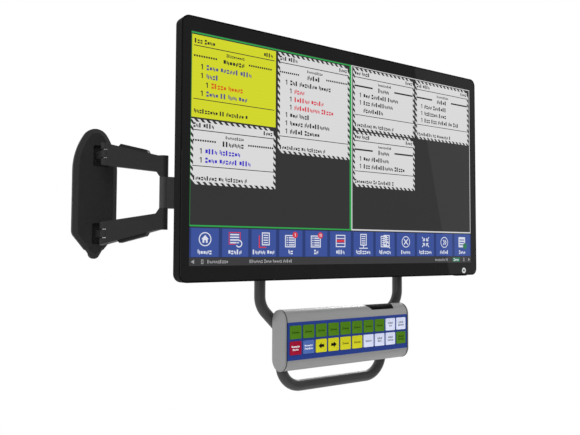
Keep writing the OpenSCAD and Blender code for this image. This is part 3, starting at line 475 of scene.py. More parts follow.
class KITCHEN_OT_finishes(bpy.types.Operator):
    """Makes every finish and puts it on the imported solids"""
    bl_idname = "kitchen.finishes"
    bl_label = "Finishes of the solids"

    def execute(self, context):
        bar, tube = look().bar, look().tube
        for make, name, code, *more in (
                (moulded_abs, "abs_black", "#0d0d0e", (0.7, 0.8), 0.11),
                (moulded_abs, "abs_cover", "#242425"), (moulded_abs, "abs_rear", "#18181a"),
                # The link and swivel head wear the arms' black powder coat painted lighter: painted light
                # that stands in for the light the display blocks from them
                (powder_coat, "powder_coat_black", "#2a2a2b"), (powder_coat, "powder_coat_grey", "#444445"),
                (powder_coat, "cover_black", "#2c2c2d"),
                (stoved_enamel, "enamel_plate", "#1c1c1d"), (printed_glass, "printed_glass", "#161617"),
                (key_plastic, "legend_dark", "#1c3006"), (key_plastic, "legend_grey", "#30313c"),
                (key_plastic, "legend_black", "#15150f"), (key_plastic, "legend_white", "#eceef6"),
                (rubber, "gasket_rubber", "#151516"), (rubber, "silicone_rubber", "#8b8d90"),
                (plated_steel, "ground_steel", "#8d8f92"), (plated_steel, "screw_steel", "#3a3a3c"),
                (plated_steel, "zinc_sheet", "#9fa2a5", (0.3, 0.45)),
                (plated_steel, "zinc_washer", "#b4b4b5", (0.18, 0.3)),
                (plated_steel, "extruded_aluminium", "#b4b6b8", (0.3, 0.42)),
                (circuit_board, "solder_mask", "#14512c")):
            make(name, linear(code), *more)
        stoved_enamel("enamel_tube", tuple(tube.colour))
        silver_lacquer("silver_lacquer", tuple(bar.silver))
        printed_film("blue_film", tuple(bar.panel))
        for name in ("green", "white", "red", "blue", "yellow"):
            key_plastic("lidded_" + name, tuple(getattr(bar, name)))
        wear = {
            "abs_black": ("front_frame", "power_button", "port_cover", "tilt_knob"),
            "abs_rear": ("rear_cover", "speakers", "power_switch"),
            "abs_cover": ("cable_covers",),
            "powder_coat_black": ("upper_arm", "lower_arm", "wall_plate"),
            # The arms' black coat, painted lighter here as painted light in the display's shade
            "powder_coat_grey": ("link_arm", "swivel_head"),
            "cover_black": ("wall_cover",),
            "enamel_plate": ("tilt_bracket", "vesa_plate", "frame_plate", "bar_clamps"),
            "enamel_tube": ("tube_frame",),
            "silver_lacquer": ("bar_housing", "end_caps"),
            "printed_glass": ("cover_glass",),
            "blue_film": ("key_panel",),
            "gasket_rubber": ("bar_gaskets",),
            "silicone_rubber": ("dome_mat",),
            "ground_steel": ("wall_pins", "elbow_pin", "swivel_pin", "tilt_bolt"),
            "screw_steel": ("vesa_screws", "rear_screws", "clamp_screws"),
            "zinc_washer": ("wall_washers",),
            "zinc_sheet": ("chassis_plate", "lcd_panel", "io_sockets"),
            "extruded_aluminium": ("heat_sink",),
            "solder_mask": ("main_board", "key_board", "camera_module"),
            "lidded_green": tuple(KEYS),
        }
        for finish, nodes in wear.items():
            for node in nodes:
                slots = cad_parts[node].data.materials
                slots.clear()
                slots.append(finished(finish))
        return {"FINISHED"}


class KITCHEN_OT_cover_glass(bpy.types.Operator):
    """Cover glass with a ground edge and a printed border; its window lies a little deeper for the picture"""
    bl_idname = "kitchen.cover_glass"
    bl_label = "Cover glass"

    def execute(self, context):
        screen = look().screen
        lit_picture("lit_ground", tuple(screen.ground))
        width, height = GLASS_HIGH.x - GLASS_LOW.x, GLASS_HIGH.z - GLASS_LOW.z
        middle_z = (GLASS_LOW.z + GLASS_HIGH.z) / 2
        ground_edge = 0.35 * MM
        bm = bmesh.new()
        rings = []
        for inset, y in ((0.0, GLASS_HIGH.y), (0.0, GLASS_LOW.y + ground_edge), (ground_edge, GLASS_LOW.y)):
            rings.append([(SCREEN.x + u, y, middle_z + v) for u, v in
                          round_rect(width - 2 * inset, height - 2 * inset, screen.corner - inset, 10)])
        rows = loft(bm, rings, close=False)
        bm.faces.new(rows[0])
        corners = [(SCREEN.x + sx * screen.lit_width / 2, SCREEN.z + sz * screen.lit_height / 2)
                   for sx, sz in ((-1, -1), (1, -1), (1, 1), (-1, 1))]
        front, back = loft(bm, [[(x, y, z) for x, z in corners]
                                for y in (GLASS_LOW.y, GLASS_LOW.y + screen.recess)], close=False)
        edges = [bm.edges.get(pair) for ring in (rows[-1], front) for pair in zip(ring, ring[1:] + ring[:1])]
        bmesh.ops.triangle_fill(bm, use_beauty=True, use_dissolve=False, edges=edges)
        bm.faces.new(back).material_index = 1
        bmesh.ops.recalc_face_normals(bm, faces=bm.faces)
        glass = mesh_object("cover_glass_piece", bm, ["printed_glass", "lit_ground"], "display")
        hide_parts("cover_glass")
        return {"FINISHED"}


# The picture is drawn in millimetres about the lit middle. Touch buttons: foot and head of their row, half
# the width of one, and the line between the two halves of the screen above them
BUTTONS_LOW, BUTTONS_HIGH, BUTTON_HALF, SPLIT = -137.6, -100.4, 19.4, -1.4
# Tickets: step between two lines, room above and below them, pitch and depth of the teeth of a torn edge
LINE_STEP, HEAD_ROOM, FOOT_ROOM, TOOTH, TOOTH_DEPTH = 11.35, 45.0, 15.0, 8.6, 3.6
# Greeked tickets: left, right and top edge, letters of the title, whether the rule beside it is dotted,
# paper, ink of a dish, ink of a change, and the lines as (is a change, has a count, word lengths)
TICKETS = (
    (-262.5, -136.0, 144.0, 7, True, "lit_marked", "lit_slate_ink", "lit_orange_ink",
     ((0, 1, (4, 6, 4)), (0, 1, (4,)), (1, 1, (5, 5)), (0, 1, (4, 2, 3, 3)))),
    (-132.5, -5.0, 144.0, 5, True, "lit_paper", "lit_ink", "lit_red_ink",
     ((0, 1, (3, 7, 5)), (1, 1, (4,)), (1, 1, (6, 5)), (1, 1, (10, 5)), (0, 1, (3, 4)), (0, 1, (5, 10)),
      (0, 1, (5, 6)))),
    (-263.0, -136.0, 36.5, 7, True, "lit_paper", "lit_violet_ink", "lit_red_ink",
     ((0, 1, (4, 7)), (0, 1, (4, 6, 4)))),
    (2.0, 130.0, 145.0, 5, False, "lit_paper", "lit_ink", "lit_red_ink",
     ((0, 1, (3, 7, 5)), (0, 1, (3, 10)), (0, 0, (9,)))),
    (132.5, 260.0, 145.0, 5, False, "lit_paper", "lit_ink", "lit_red_ink",
     ((0, 1, (4, 7)), (0, 1, (7, 4)), (0, 1, (3, 3, 5, 2, 3)))),
    (2.0, 130.0, 49.0, 5, False, "lit_paper", "lit_ink", "lit_red_ink",
     ((0, 1, (3, 8)), (0, 1, (3, 10, 5)))),
)
# Letters of each touch button's greeked name
BUTTON_NAMES = ((5,), (5,), (5, 3), (2,), (2,), (4,), (7,), (6,), (5,), (7,), (5,), (4,))


class KITCHEN_OT_picture(bpy.types.Operator):
    """Lit picture: order tickets, touch buttons and the status strip, with every line of words greeked"""
    bl_idname = "kitchen.picture"
    bl_label = "Screen picture"

    def torn_paper(self, draw, left, low, right, top, paper):
        """Paper of a ticket with slanting teeth along its four edges."""
        u0, v0, u1, v1 = left + TOOTH_DEPTH, low + TOOTH_DEPTH, right - TOOTH_DEPTH, top - TOOTH_DEPTH
        draw.bar(u0, v0, u1, v1, 1, paper)
        for start, length, edges, upright in (
                (u0, right - left - 2 * TOOTH_DEPTH, ((v1, top), (v0, low)), False),
                (v0, top - low - 2 * TOOTH_DEPTH, ((u0, left), (u1, right)), True)):
            count = max(1, round(length / TOOTH))
            step = length / count
            for i in range(count):
                near = start + i * step
                far = near + step / 2
                for edge, tip in edges:
                    sway = -TOOTH_DEPTH if tip > edge else TOOTH_DEPTH
                    tooth = [(near, edge), (far, edge), (far + sway, tip), (near + sway, tip)]
                    draw.shape([(v, u) for u, v in tooth] if upright else tooth, 1, paper)

    def ticket(self, draw, slots, ticket):
        """One ticket: head, title between two rules, lines, closing rule and foot."""
        left, right, top, title, dotted, paper, dish, change, lines = ticket
        dish, change, ink = slots[dish], slots[change], slots["lit_ink"]
        low = top - HEAD_ROOM - LINE_STEP * len(lines) - FOOT_ROOM
        if paper == "lit_marked":
            draw.bar(left, low, right, top, 1, slots[paper])
        else:
            self.torn_paper(draw, left, low, right, top, slots[paper])
        middle, text_left = (left + right) / 2, left + 3.5
        rule_left, rule_right = left + 2.4, right - 2.4
        dash, dash_gap, line_cap, indent = 3.4, 1.1, 6.8, 7.2
        draw.words(text_left, top - 7.7, (3, 4), 6.0, 2, ink)
        draw.words(right - 4.5, top - 7.7, (4,), 5.6, 2, ink, 1.0)
        draw.bar(rule_left, top - 14.4, rule_right, top - 13.3, 2, ink)
        draw.words(middle, top - 19.8, (10,), 4.2, 2, ink, 0.5)
        for u0, u1 in ((left + 2.6, middle - 24.0), (middle + 20.0, right - 2.6)):
            pitch = dash if dotted else u1 - u0
            for i in range(int((u1 - u0) / pitch + 1e-6)):
                draw.bar(u0 + i * pitch, top - 28.1, u0 + (i + 1) * pitch - dash_gap, top - 25.7, 2, ink)
        draw.words(middle - 2.0, top - 28.4, (title,), 7.0, 2, ink, 0.5)
        for i, (changed, counted, words) in enumerate(lines):
            u, v = left + 14.0 + indent * changed, top - 40.0 - LINE_STEP * i
            if counted:
                draw.numeral_one(u, v, line_cap, 2, ink)
            draw.words(u + 6.6, v, words, line_cap, 2, change if changed else dish)
        rule = top - 36.3 - LINE_STEP * len(lines)
        draw.bar(rule_left, rule - 0.8, rule_right, rule + 0.2, 2, ink)
        draw.words(text_left, low + 8.3, (9, 2, 7, 1), 5.8, 2, ink)

    def page(self, sign, u, v, index, lines=4):
        """A framed page with a few lines."""
        sign.frame(u - 5.2, v - 7.2, u + 5.2, v + 7.2, 1.2, 3, index)
        sign.lines(u - 3.0, u + 3.0, v + 3.4, v + 4.6, 2.7, lines, 3, index)

    def icon(self, sign, slots, place):
        """Sign of one touch button, drawn about its middle; the places count from the left."""
        white, red, blue = slots["lit_icon"], slots["lit_red_ink"], slots["lit_button"]
        if place in (0, 8, 10):
            sign.ring(0.0, 0.0, 7.4, 6.3, 3, white)
        if place == 0:
            sign.shape([(-4.4, 0.0), (4.4, 0.0), (0.0, 4.4)], 3, white)
            sign.bar(-3.0, -3.8, 3.0, 0.0, 3, white)
            sign.bar(-0.9, -3.8, 0.9, -1.0, 4, blue)
        elif place == 1:
            sign.frame(-8.2, -5.4, 6.4, 8.0, 0.8, 3, red)
            sign.lines(-6.6, 4.6, 4.6, 6.1, 2.9, 4, 4, white)
            sign.disc(4.4, -4.4, 4.2, 4, blue)
            sign.ring(4.4, -4.4, 4.2, 2.9, 5, white, 20, -150, 100)
        elif place == 2:
            self.page(sign, 2.4, 1.2, white)
            sign.bar(-6.8, -7.6, -5.4, 5.0, 3, red)
            sign.bar(-6.8, -8.8, 3.0, -7.6, 3, red)
        elif place in (3, 4):
            sign.frame(-8.2, -8.0, 6.4, 6.0, 1.2, 3, white)
            for u0, u1 in ((-6.0, -4.4), (-3.2, 4.6)):
                sign.lines(u0, u1, 2.2, 3.6, 2.7, 4, 3, white)
            sign.disc(5.8, 6.2, 3.7, 4, red)
            for u in (5.7,) if place == 3 else (5.0, 6.9):
                sign.numeral_one(u, 6.2, 3.6, 5, white)
        elif place == 5:
            sign.frame(-7.4, -7.4, 7.4, 7.4, 1.2, 3, white)
            for v in (-3.6, 2.6):
                sign.bar(-7.4, v, 7.4, v + 1.0, 3, white)
            sign.bar(-6.0, -1.5, 6.0, 1.5, 4, red)
        elif place == 6:
            self.page(sign, 0.0, 2.0, white, 5)
            sign.bar(-0.6, -8.4, 0.6, -5.2, 3, white)
            sign.bar(-7.0, -9.2, 7.0, -8.0, 3, white)
        elif place == 7:
            self.page(sign, -2.4, 0.0, white)
            self.page(sign, 2.4, 1.2, white, 3)
            sign.ring(4.0, -4.2, 3.4, 2.2, 4, white, 20)
            sign.stroke(6.0, -6.2, 8.2, -8.4, 1.4, 4, white)
        elif place == 8:
            for v in (-3.4, 3.4):
                sign.stroke(-3.4, v, 3.4, -v, 1.5, 3, white)
        elif place == 9:
            for u, v in ((1, 1), (-1, 1), (1, -1), (-1, -1)):
                sign.stroke(2.4 * u, 2.4 * v, 6.6 * u, 6.6 * v, 1.3, 3, white)
                sign.stroke(1.8 * u, 1.8 * v, 5.4 * u, 1.8 * v, 1.3, 3, white)
                sign.stroke(1.8 * u, 1.8 * v, 1.8 * u, 5.4 * v, 1.3, 3, white)
        elif place == 10:
            for u in (-2.4, 1.0):
                for v in (-3.4, 3.4):
                    sign.stroke(u, v, u + 2.7, 0.0, 1.4, 3, white)
        else:
            sign.bar(-7.6, -6.6, 6.0, 7.6, 3, white)
            sign.lines(-5.8, 4.2, 3.0, 4.4, 3.4, 3, 4, blue)
            sign.disc(5.6, -4.8, 4.2, 5, slots["lit_status_tag"])

    def execute(self, context):
        screen = look().screen
        looks = ("paper", "marked", "button", "button_edge", "active_line", "quiet_line", "ink", "violet_ink",
                 "slate_ink", "red_ink", "orange_ink", "icon", "status", "status_ink", "status_tag")
        names = ["lit_" + name for name in looks]
        for name, shade in zip(names, looks):
            lit_picture(name, tuple(getattr(screen, shade)))
        slots = {name: i for i, name in enumerate(names)}
        bm = bmesh.new()
        draw = Picture(bm, SCREEN + Vector((0.0, screen.recess, 0.0)), screen.layer)
        half_w, half_h = screen.lit_width / MM / 2, screen.lit_height / MM / 2

        # Frames round the two halves
        for u0, u1, line, widths in ((-half_w, SPLIT, "lit_active_line", (1.9, 1.8, 0.5, 3.3)),
                                     (SPLIT, half_w - 0.6, "lit_quiet_line", (2.0, 1.2, 1.7, 1.2))):
            draw.frame(u0, BUTTONS_HIGH + 1.4, u1, half_h - 1.0, widths, 1, slots[line])
        for ticket in TICKETS:
            self.ticket(draw, slots, ticket)

        # Touch buttons, each with its sign above its name
        draw.bar(-half_w, BUTTONS_LOW, half_w, BUTTONS_HIGH, 1, slots["lit_button_edge"])
        pitch = 2 * half_w / len(BUTTON_NAMES)
        gap, sign_drop, sign_scale, name_rise = 0.5, 14.4, 1.2, 6.8
        for i, words in enumerate(BUTTON_NAMES):
            u = -half_w + pitch * (i + 0.5)
            draw.bar(u - BUTTON_HALF, BUTTONS_LOW + gap, u + BUTTON_HALF, BUTTONS_HIGH - gap, 2,
                     slots["lit_button"])
            middle = draw.middle + Vector((u, 0.0, BUTTONS_HIGH - sign_drop)) * MM
            self.icon(Picture(bm, middle, screen.layer, sign_scale), slots, i)
            draw.words(u, BUTTONS_LOW + name_rise, words, 6.2, 3, slots["lit_icon"], 0.5)

        # Status strip: an arrow and a nought at each end, greeked words and a green tag
        draw.bar(-half_w, -half_h, half_w, BUTTONS_LOW - 0.6, 1, slots["lit_status"])
        line, quiet = (BUTTONS_LOW - half_h) / 2 - 0.2, slots["lit_status_ink"]
        for side in (-1, 1):
            tip, back, nought = 261.0 * side, 256.5 * side, 245.2 * side
            draw.shape([(tip, line), (back, line + 2.8), (back, line - 2.8)], 2, quiet)
            draw.frame(nought - 1.6, line - 2.8, nought + 1.6, line + 2.8, 0.9, 2, quiet)
        for u, words, cap in ((-238.0, (10,), 4.6), (-176.0, (7, 4, 5, 5), 4.6), (176.0, (8, 2), 4.4)):
            draw.words(u, line, words, cap, 2, quiet)
        draw.bar(217.5, line - 3.4, 235.5, line + 3.4, 2, slots["lit_status_tag"])
        draw.words(226.5, line, (4,), 4.8, 3, slots["lit_icon"], 0.5)
        mesh_object("screen_picture", bm, names, "display")
        return {"FINISHED"}


class KITCHEN_OT_bezel_marks(bpy.types.Operator):
    """Power mark and camera window in the printed border"""
    bl_idname = "kitchen.bezel_marks"
    bl_label = "Marks on the border"

    def execute(self, context):
        screen = look().screen
        # Places in millimetres about the lit middle
        power, camera = (245.0, -161.5), (0.0, 157.8)
        key_plastic("print_grey", linear("#ced2d0"))
        key_plastic("print_black", linear("#1a1a1c"))
        # Coated glass of the camera: nearly black, and clear as a mirror
        grained("coated_lens", linear("#17131d"), {"IOR": 1.5, "Coat Weight": 1.0, "Coat Roughness": 0.01},
                grain=6.0, spread=0.1, rough=(0.08, 0.14), bump=0.0)
        bm = bmesh.new()
        draw = Picture(bm, SCREEN, screen.layer)
        draw.disc(*power, 4.7, 1, 0, 36)
        draw.disc(*power, 1.9, 2, 1, 24)
        mesh_object("power_mark", bm, ["print_grey", "print_black"], "display")
        bm = bmesh.new()
        draw = Picture(bm, SCREEN, screen.layer)
        draw.ring(*camera, 3.6, 3.0, 1, 1, 36)
        draw.disc(*camera, 3.0, 1, 0, 36)
        draw.disc(*camera, 1.3, 2, 1, 24)
        mesh_object("camera_window", bm, ["coated_lens", "print_black"], "display")
        return {"FINISHED"}


class KITCHEN_OT_key_caps(bpy.types.Operator):
    """Twenty key caps with a rounded edge, a raised rim and a plain greeked legend or arrow"""
    bl_idname = "kitchen.key_caps"
    bl_label = "Key caps"

    def execute(self, context):
        bar = look().bar
        edge, rim, dish = bar.key_edge, bar.key_rim, bar.key_dish
        # Flange behind the panel: reach past the cap, thickness, and how far its front is before the back
        flange, flange_thick, flange_front = 0.7 * MM, 1.0 * MM, 2.44 * MM
        corner, face_corner, print_step = 1.4 * MM, 1.1 * MM, 0.03 * MM
        colours = ["green"] * 8 + ["white"] * 2 + ["red", "blue"] + ["yellow"] * 4 + ["white"] * 3 + ["green"]
        legends = {"green": "legend_dark", "white": "legend_grey", "red": "legend_white",
                   "blue": "legend_white", "yellow": "legend_black"}
        # Side to which a key's arrow points, and letters in each row of a legend that has two rows; the other
        # keys have one row of six
        arrows = {"key_13": -1, "key_14": 1}
        legend_rows = {"key_09": (5, 3), "key_10": (5, 6), "key_11": (7, 5), "key_12": (7, 7),
                       "key_18": (5, 4), "key_19": (5, 6), "key_20": (6, 6)}
        for node, colour in zip(KEYS, colours):
            low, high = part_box(node)
            middle = (low + high) / 2
            width, height = high.x - low.x - 2 * flange, high.z - low.z - 2 * flange
            flange_y = high.y - flange_front
            rings = []
            for inset, y in ((-flange, flange_y + flange_thick), (-flange, flange_y), (0.0, flange_y),
                             (0.0, low.y + edge), (0.3 * edge, low.y + 0.3 * edge), (edge, low.y),
                             (rim, low.y), (rim + 0.4 * edge, low.y + dish)):
                radius = corner if inset <= edge else face_corner
                rings.append([(middle.x + u, y, middle.z + v)
                              for u, v in round_rect(width - 2 * inset, height - 2 * inset, radius, 5)])
            bm = bmesh.new()
            loft(bm, rings)
            bmesh.ops.recalc_face_normals(bm, faces=bm.faces)
            draw = Picture(bm, Vector((middle.x, low.y + dish, middle.z)), print_step)
            if node in arrows:
                side = arrows[node]
                draw.bar(min(0.0, -4.8 * side), -1.9, max(0.0, -4.8 * side), 1.9, 1, 1)
                draw.shape([(0.0, 4.2), (0.0, -4.2), (5.2 * side, 0.0)], 1, 1)
            else:
                rows = legend_rows.get(node, (6,))
                for row, letters in enumerate(rows):
                    draw.words(0.0, (2.2 - 4.2 * row) * (len(rows) > 1), (letters,), 3.0, 1, 1, 0.5)
            cap = mesh_object(node + "_cap", bm, ["lidded_" + colour, legends[colour]], node,
                              True)
            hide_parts(node)
        return {"FINISHED"}


class KITCHEN_OT_end_caps(bpy.types.Operator):
    """End caps of the bar with a rounded outer edge"""
    bl_idname = "kitchen.end_caps"
    bl_label = "End caps"

    def execute(self, context):
        low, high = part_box("end_caps")
        gasket_low, gasket_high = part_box("bar_gaskets")
        round_off, tiny = look().bar.cap_round, 1e-6
        depth, height = high.y - low.y, high.z - low.z
        middle = (low + high) / 2
        bm = bmesh.new()
        for inner, outer in ((gasket_low.x, low.x), (gasket_high.x, high.x)):
            side = 1.0 if outer > inner else -1.0
            profile = [(0.0, inner), (0.0, outer - side * round_off)]
            for turn in (math.radians(degrees) for degrees in range(15, 91, 15)):
                profile.append((round_off * (1 - math.cos(turn)),
                                outer - side * round_off * (1 - math.sin(turn))))
            rings = []
            for inset, x in profile:
                outline = round_rect(depth - 2 * inset, height - 2 * inset, depth / 2 - inset - tiny, 14)
                rings.append([(x, middle.y + u, middle.z + v) for u, v in outline])
            loft(bm, rings)
        bmesh.ops.remove_doubles(bm, verts=bm.verts, dist=tiny)
        bmesh.ops.recalc_face_normals(bm, faces=bm.faces)
        caps = mesh_object("end_cap_pair", bm, ["silver_lacquer"], "display", True)
        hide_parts("end_caps")
        return {"FINISHED"}


def grown(name, mesh, tree, inputs, material, body, node, wall=0.0):
    """Runs a Geometry Nodes tree on a start mesh; the result is a plain mesh that stands for a node."""
    seed = bpy.data.objects.new(name + "_start", mesh)
    bpy.context.scene.collection.objects.link(seed)
    modifier = seed.modifiers.new("Grow", "NODES")
    modifier.node_group = tree
    sockets = {item.name: item.identifier for item in tree.interface.items_tree if item.in_out == "INPUT"}
    for key, value in inputs.items():
        modifier[sockets[key]] = value
    modifier[sockets["Finish"]] = finished(material)
    if wall:
        shell = seed.modifiers.new("Wall", "SOLIDIFY")
        shell.thickness = wall
        shell.offset = -1.0
    bpy.context.view_layer.update()
    result = bpy.data.meshes.new_from_object(seed.evaluated_get(bpy.context.evaluated_depsgraph_get()))
    if not result.polygons:
        raise RuntimeError(name + " came out empty")
    bpy.data.objects.remove(seed)
    result.name = name
    result.materials.clear()
    made = piece(name, result, [material], body)
    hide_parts(node)
    return made


def start_tree(name, sizes):
    """A Geometry Nodes group with a start mesh, named sizes in metres and a finish."""
    tree = bpy.data.node_groups.new(name, "GeometryNodeTree")
    face = tree.interface
    face.new_socket("Start", in_out="INPUT", socket_type="NodeSocketGeometry")
    for size in sizes:
        face.new_socket(size, in_out="INPUT", socket_type="NodeSocketFloat").subtype = "DISTANCE"
    face.new_socket("Finish", in_out="INPUT", socket_type="NodeSocketMaterial")
    face.new_socket("Result", in_out="OUTPUT", socket_type="NodeSocketGeometry")
    return tree, add(tree, "NodeGroupInput").outputs


def end_tree(tree, geometry, finish):
    """Ends a Geometry Nodes group: what it made becomes one real mesh with the finish."""
    real = add(tree, "GeometryNodeRealizeInstances", links={"Geometry": geometry})
    coat = add(tree, "GeometryNodeSetMaterial",
               links={"Geometry": real.outputs["Geometry"], "Material": finish})
    add(tree, "NodeGroupOutput", links={"Result": coat.outputs["Geometry"]})


class KITCHEN_OT_tube(bpy.types.Operator):
    """Bent tube that carries the key bar: a path with equal bends, swept by Geometry Nodes"""
    bl_idname = "kitchen.tube"
    bl_label = "Bent tube"

    def execute(self, context):
        tube = look().tube
        low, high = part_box("tube_frame")
        across, y = (low.x + high.x) / 2, (low.y + high.y) / 2
        jog_high = SCREEN.z - tube.jog_top
        jog_low = jog_high - tube.jog_height
        # The loop lies this much higher, so that the sweep stays within the solid's box
        lift = 0.05 * MM
        bottom = low.z + tube.diameter / 2 + lift
        right = [(tube.upper_reach, high.z), (tube.upper_reach, jog_high), (tube.lower_reach, jog_low),
                 (tube.lower_reach, bottom)]
        path = right + [(-x, z) for x, z in reversed(right)]
        mesh = bpy.data.meshes.new("tube_path")
        steps = [(i, i + 1) for i in range(len(path) - 1)]
        mesh.from_pydata([(across + x, y, z) for x, z in path], steps, [])
        tree, given = start_tree("sweep_tube", ("Tube Diameter", "Bend Radius"))
        line = add(tree, "GeometryNodeMeshToCurve", links={"Mesh": given["Start"]})
        bends = add(tree, "GeometryNodeFilletCurve", {"Count": 20, "Limit Radius": True},
                    {"Curve": line.outputs["Curve"], "Radius": given["Bend Radius"]}, mode="POLY")
        half = add(tree, "ShaderNodeMath", {1: 0.5}, {0: given["Tube Diameter"]}, operation="MULTIPLY")
        ring = add(tree, "GeometryNodeCurvePrimitiveCircle", {"Resolution": 40},
                   {"Radius": half.outputs["Value"]})
        sweep = add(tree, "GeometryNodeCurveToMesh", {"Fill Caps": False},
                    {"Curve": bends.outputs["Curve"], "Profile Curve": ring.outputs["Curve"]})
        soft = add(tree, "GeometryNodeSetShadeSmooth", {"Shade Smooth": True},
                   {"Geometry": sweep.outputs["Mesh"]})
        end_tree(tree, soft.outputs["Geometry"], given["Finish"])
        made = grown("bent_tube", mesh, tree, {"Tube Diameter": tube.diameter, "Bend Radius": tube.bend},
                     "enamel_tube", "display", "tube_frame", tube.wall)
        made.data.set_sharp_from_angle(angle=TUBE_EDGE)
        return {"FINISHED"}


class KITCHEN_OT_screws(bpy.types.Operator):
    """Screws at the back: a pan head with a hexagon socket, set on points by Geometry Nodes"""
    bl_idname = "kitchen.screws"
    bl_label = "Screws"

    def tree(self):
        """Geometry Nodes that build one screw and set it on every point."""
        tree, given = start_tree("set_screws", ("Head Diameter", "Head Height", "Socket Width",
                                                "Shank Diameter", "Shank Length"))
        # Lengths of the screw as shares of the given sizes
        size = {}
        for name, source, share in (
                ("foot radius", "Head Diameter", 0.5), ("shoulder radius", "Head Diameter", 0.48),
                ("top radius", "Head Diameter", 0.39), ("skirt height", "Head Height", 0.6),
                ("dome height", "Head Height", 0.4), ("socket middle", "Head Height", 0.95),
                ("socket radius", "Socket Width", 0.577), ("shank radius", "Shank Diameter", 0.5),
                ("shank middle", "Shank Length", -0.5)):
            size[name] = add(tree, "ShaderNodeMath", {1: share}, {0: given[source]},
                             operation="MULTIPLY").outputs["Value"]
        skirt = add(tree, "GeometryNodeMeshCone", {"Vertices": 32, "Side Segments": 1}, {
            "Radius Top": size["shoulder radius"], "Radius Bottom": size["foot radius"],
            "Depth": size["skirt height"]})
        dome = add(tree, "GeometryNodeMeshCone", {"Vertices": 32}, {
            "Radius Top": size["top radius"], "Radius Bottom": size["shoulder radius"],
            "Depth": size["dome height"]})
        shank = add(tree, "GeometryNodeMeshCylinder", {"Vertices": 20}, {
            "Radius": size["shank radius"], "Depth": given["Shank Length"]})
        socket = add(tree, "GeometryNodeMeshCylinder", {"Vertices": 6}, {
            "Radius": size["socket radius"], "Depth": given["Head Height"]})
        parts = []
        for part, height in ((dome, "skirt height"), (shank, "shank middle"), (socket, "socket middle")):
            lift = add(tree, "ShaderNodeCombineXYZ", links={"Z": size[height]})
            parts.append(add(tree, "GeometryNodeTransform", links={
                "Geometry": part.outputs["Mesh"], "Translation": lift.outputs["Vector"]}).outputs["Geometry"])
        solid = add(tree, "GeometryNodeMeshBoolean", operation="UNION")
        for part in (skirt.outputs["Mesh"], parts[0], parts[1]):
            tree.links.new(part, solid.inputs["Mesh 2"])
        cut = add(tree, "GeometryNodeMeshBoolean",
                  links={"Mesh 1": solid.outputs["Mesh"], "Mesh 2": parts[2]}, operation="DIFFERENCE")
        # The screw's own axis is Z; it is laid down so that the head looks out of the back
        laid = add(tree, "GeometryNodeTransform", {"Rotation": (-math.pi / 2, 0.0, 0.0)},
                   {"Geometry": cut.outputs["Mesh"]})
        many = add(tree, "GeometryNodeInstanceOnPoints",
                   links={"Points": given["Start"], "Instance": laid.outputs["Geometry"]})
        end_tree(tree, many.outputs["Instances"], given["Finish"])
        return tree

    def execute(self, context):
        tree = self.tree()
        # The inner rear screws stand a seventh of the display's width from the middle
        rear_inner = 554 / 7 * MM
        # Screws less than this apart in height stand in one row
        one_row = 1 * MM
        # Node, head diameter and height, socket width and shank diameter, in millimetres
        kinds = (("vesa_screws", 8.0, 2.6, 2.9, 4.0), ("rear_screws", 6.5, 2.4, 2.2, 3.0),
                 ("clamp_screws", 5.6, 1.92, 2.2, 3.5))
        for node, head, rise, socket, shank in kinds:
            low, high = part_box(node)
            seat, reach = high.y - rise * MM, head / 2 * MM
            left, right, down, up = low.x + reach, high.x - reach, low.z + reach, high.z - reach
            middle = (left + right) / 2
            points = [(x, seat, z) for x in (left, right)
                      for z in ((down,) if up - down < one_row else (down, up))]
            if node == "rear_screws":
                points += [(middle + side * rear_inner, seat, up) for side in (-1, 1)]
            if node == "clamp_screws":
                inner = 2 * look().tube.lower_reach - (right - middle)
                points += [(middle + side * inner, seat, down) for side in (-1, 1)]
            mesh = bpy.data.meshes.new(node + "_points")
            mesh.from_pydata(points, [], [])
            grown(node + "_set", mesh, tree, {
                "Head Diameter": head * MM, "Head Height": rise * MM, "Socket Width": socket * MM,
                "Shank Diameter": shank * MM, "Shank Length": seat - low.y}, "screw_steel", "display",
                node)
        return {"FINISHED"}


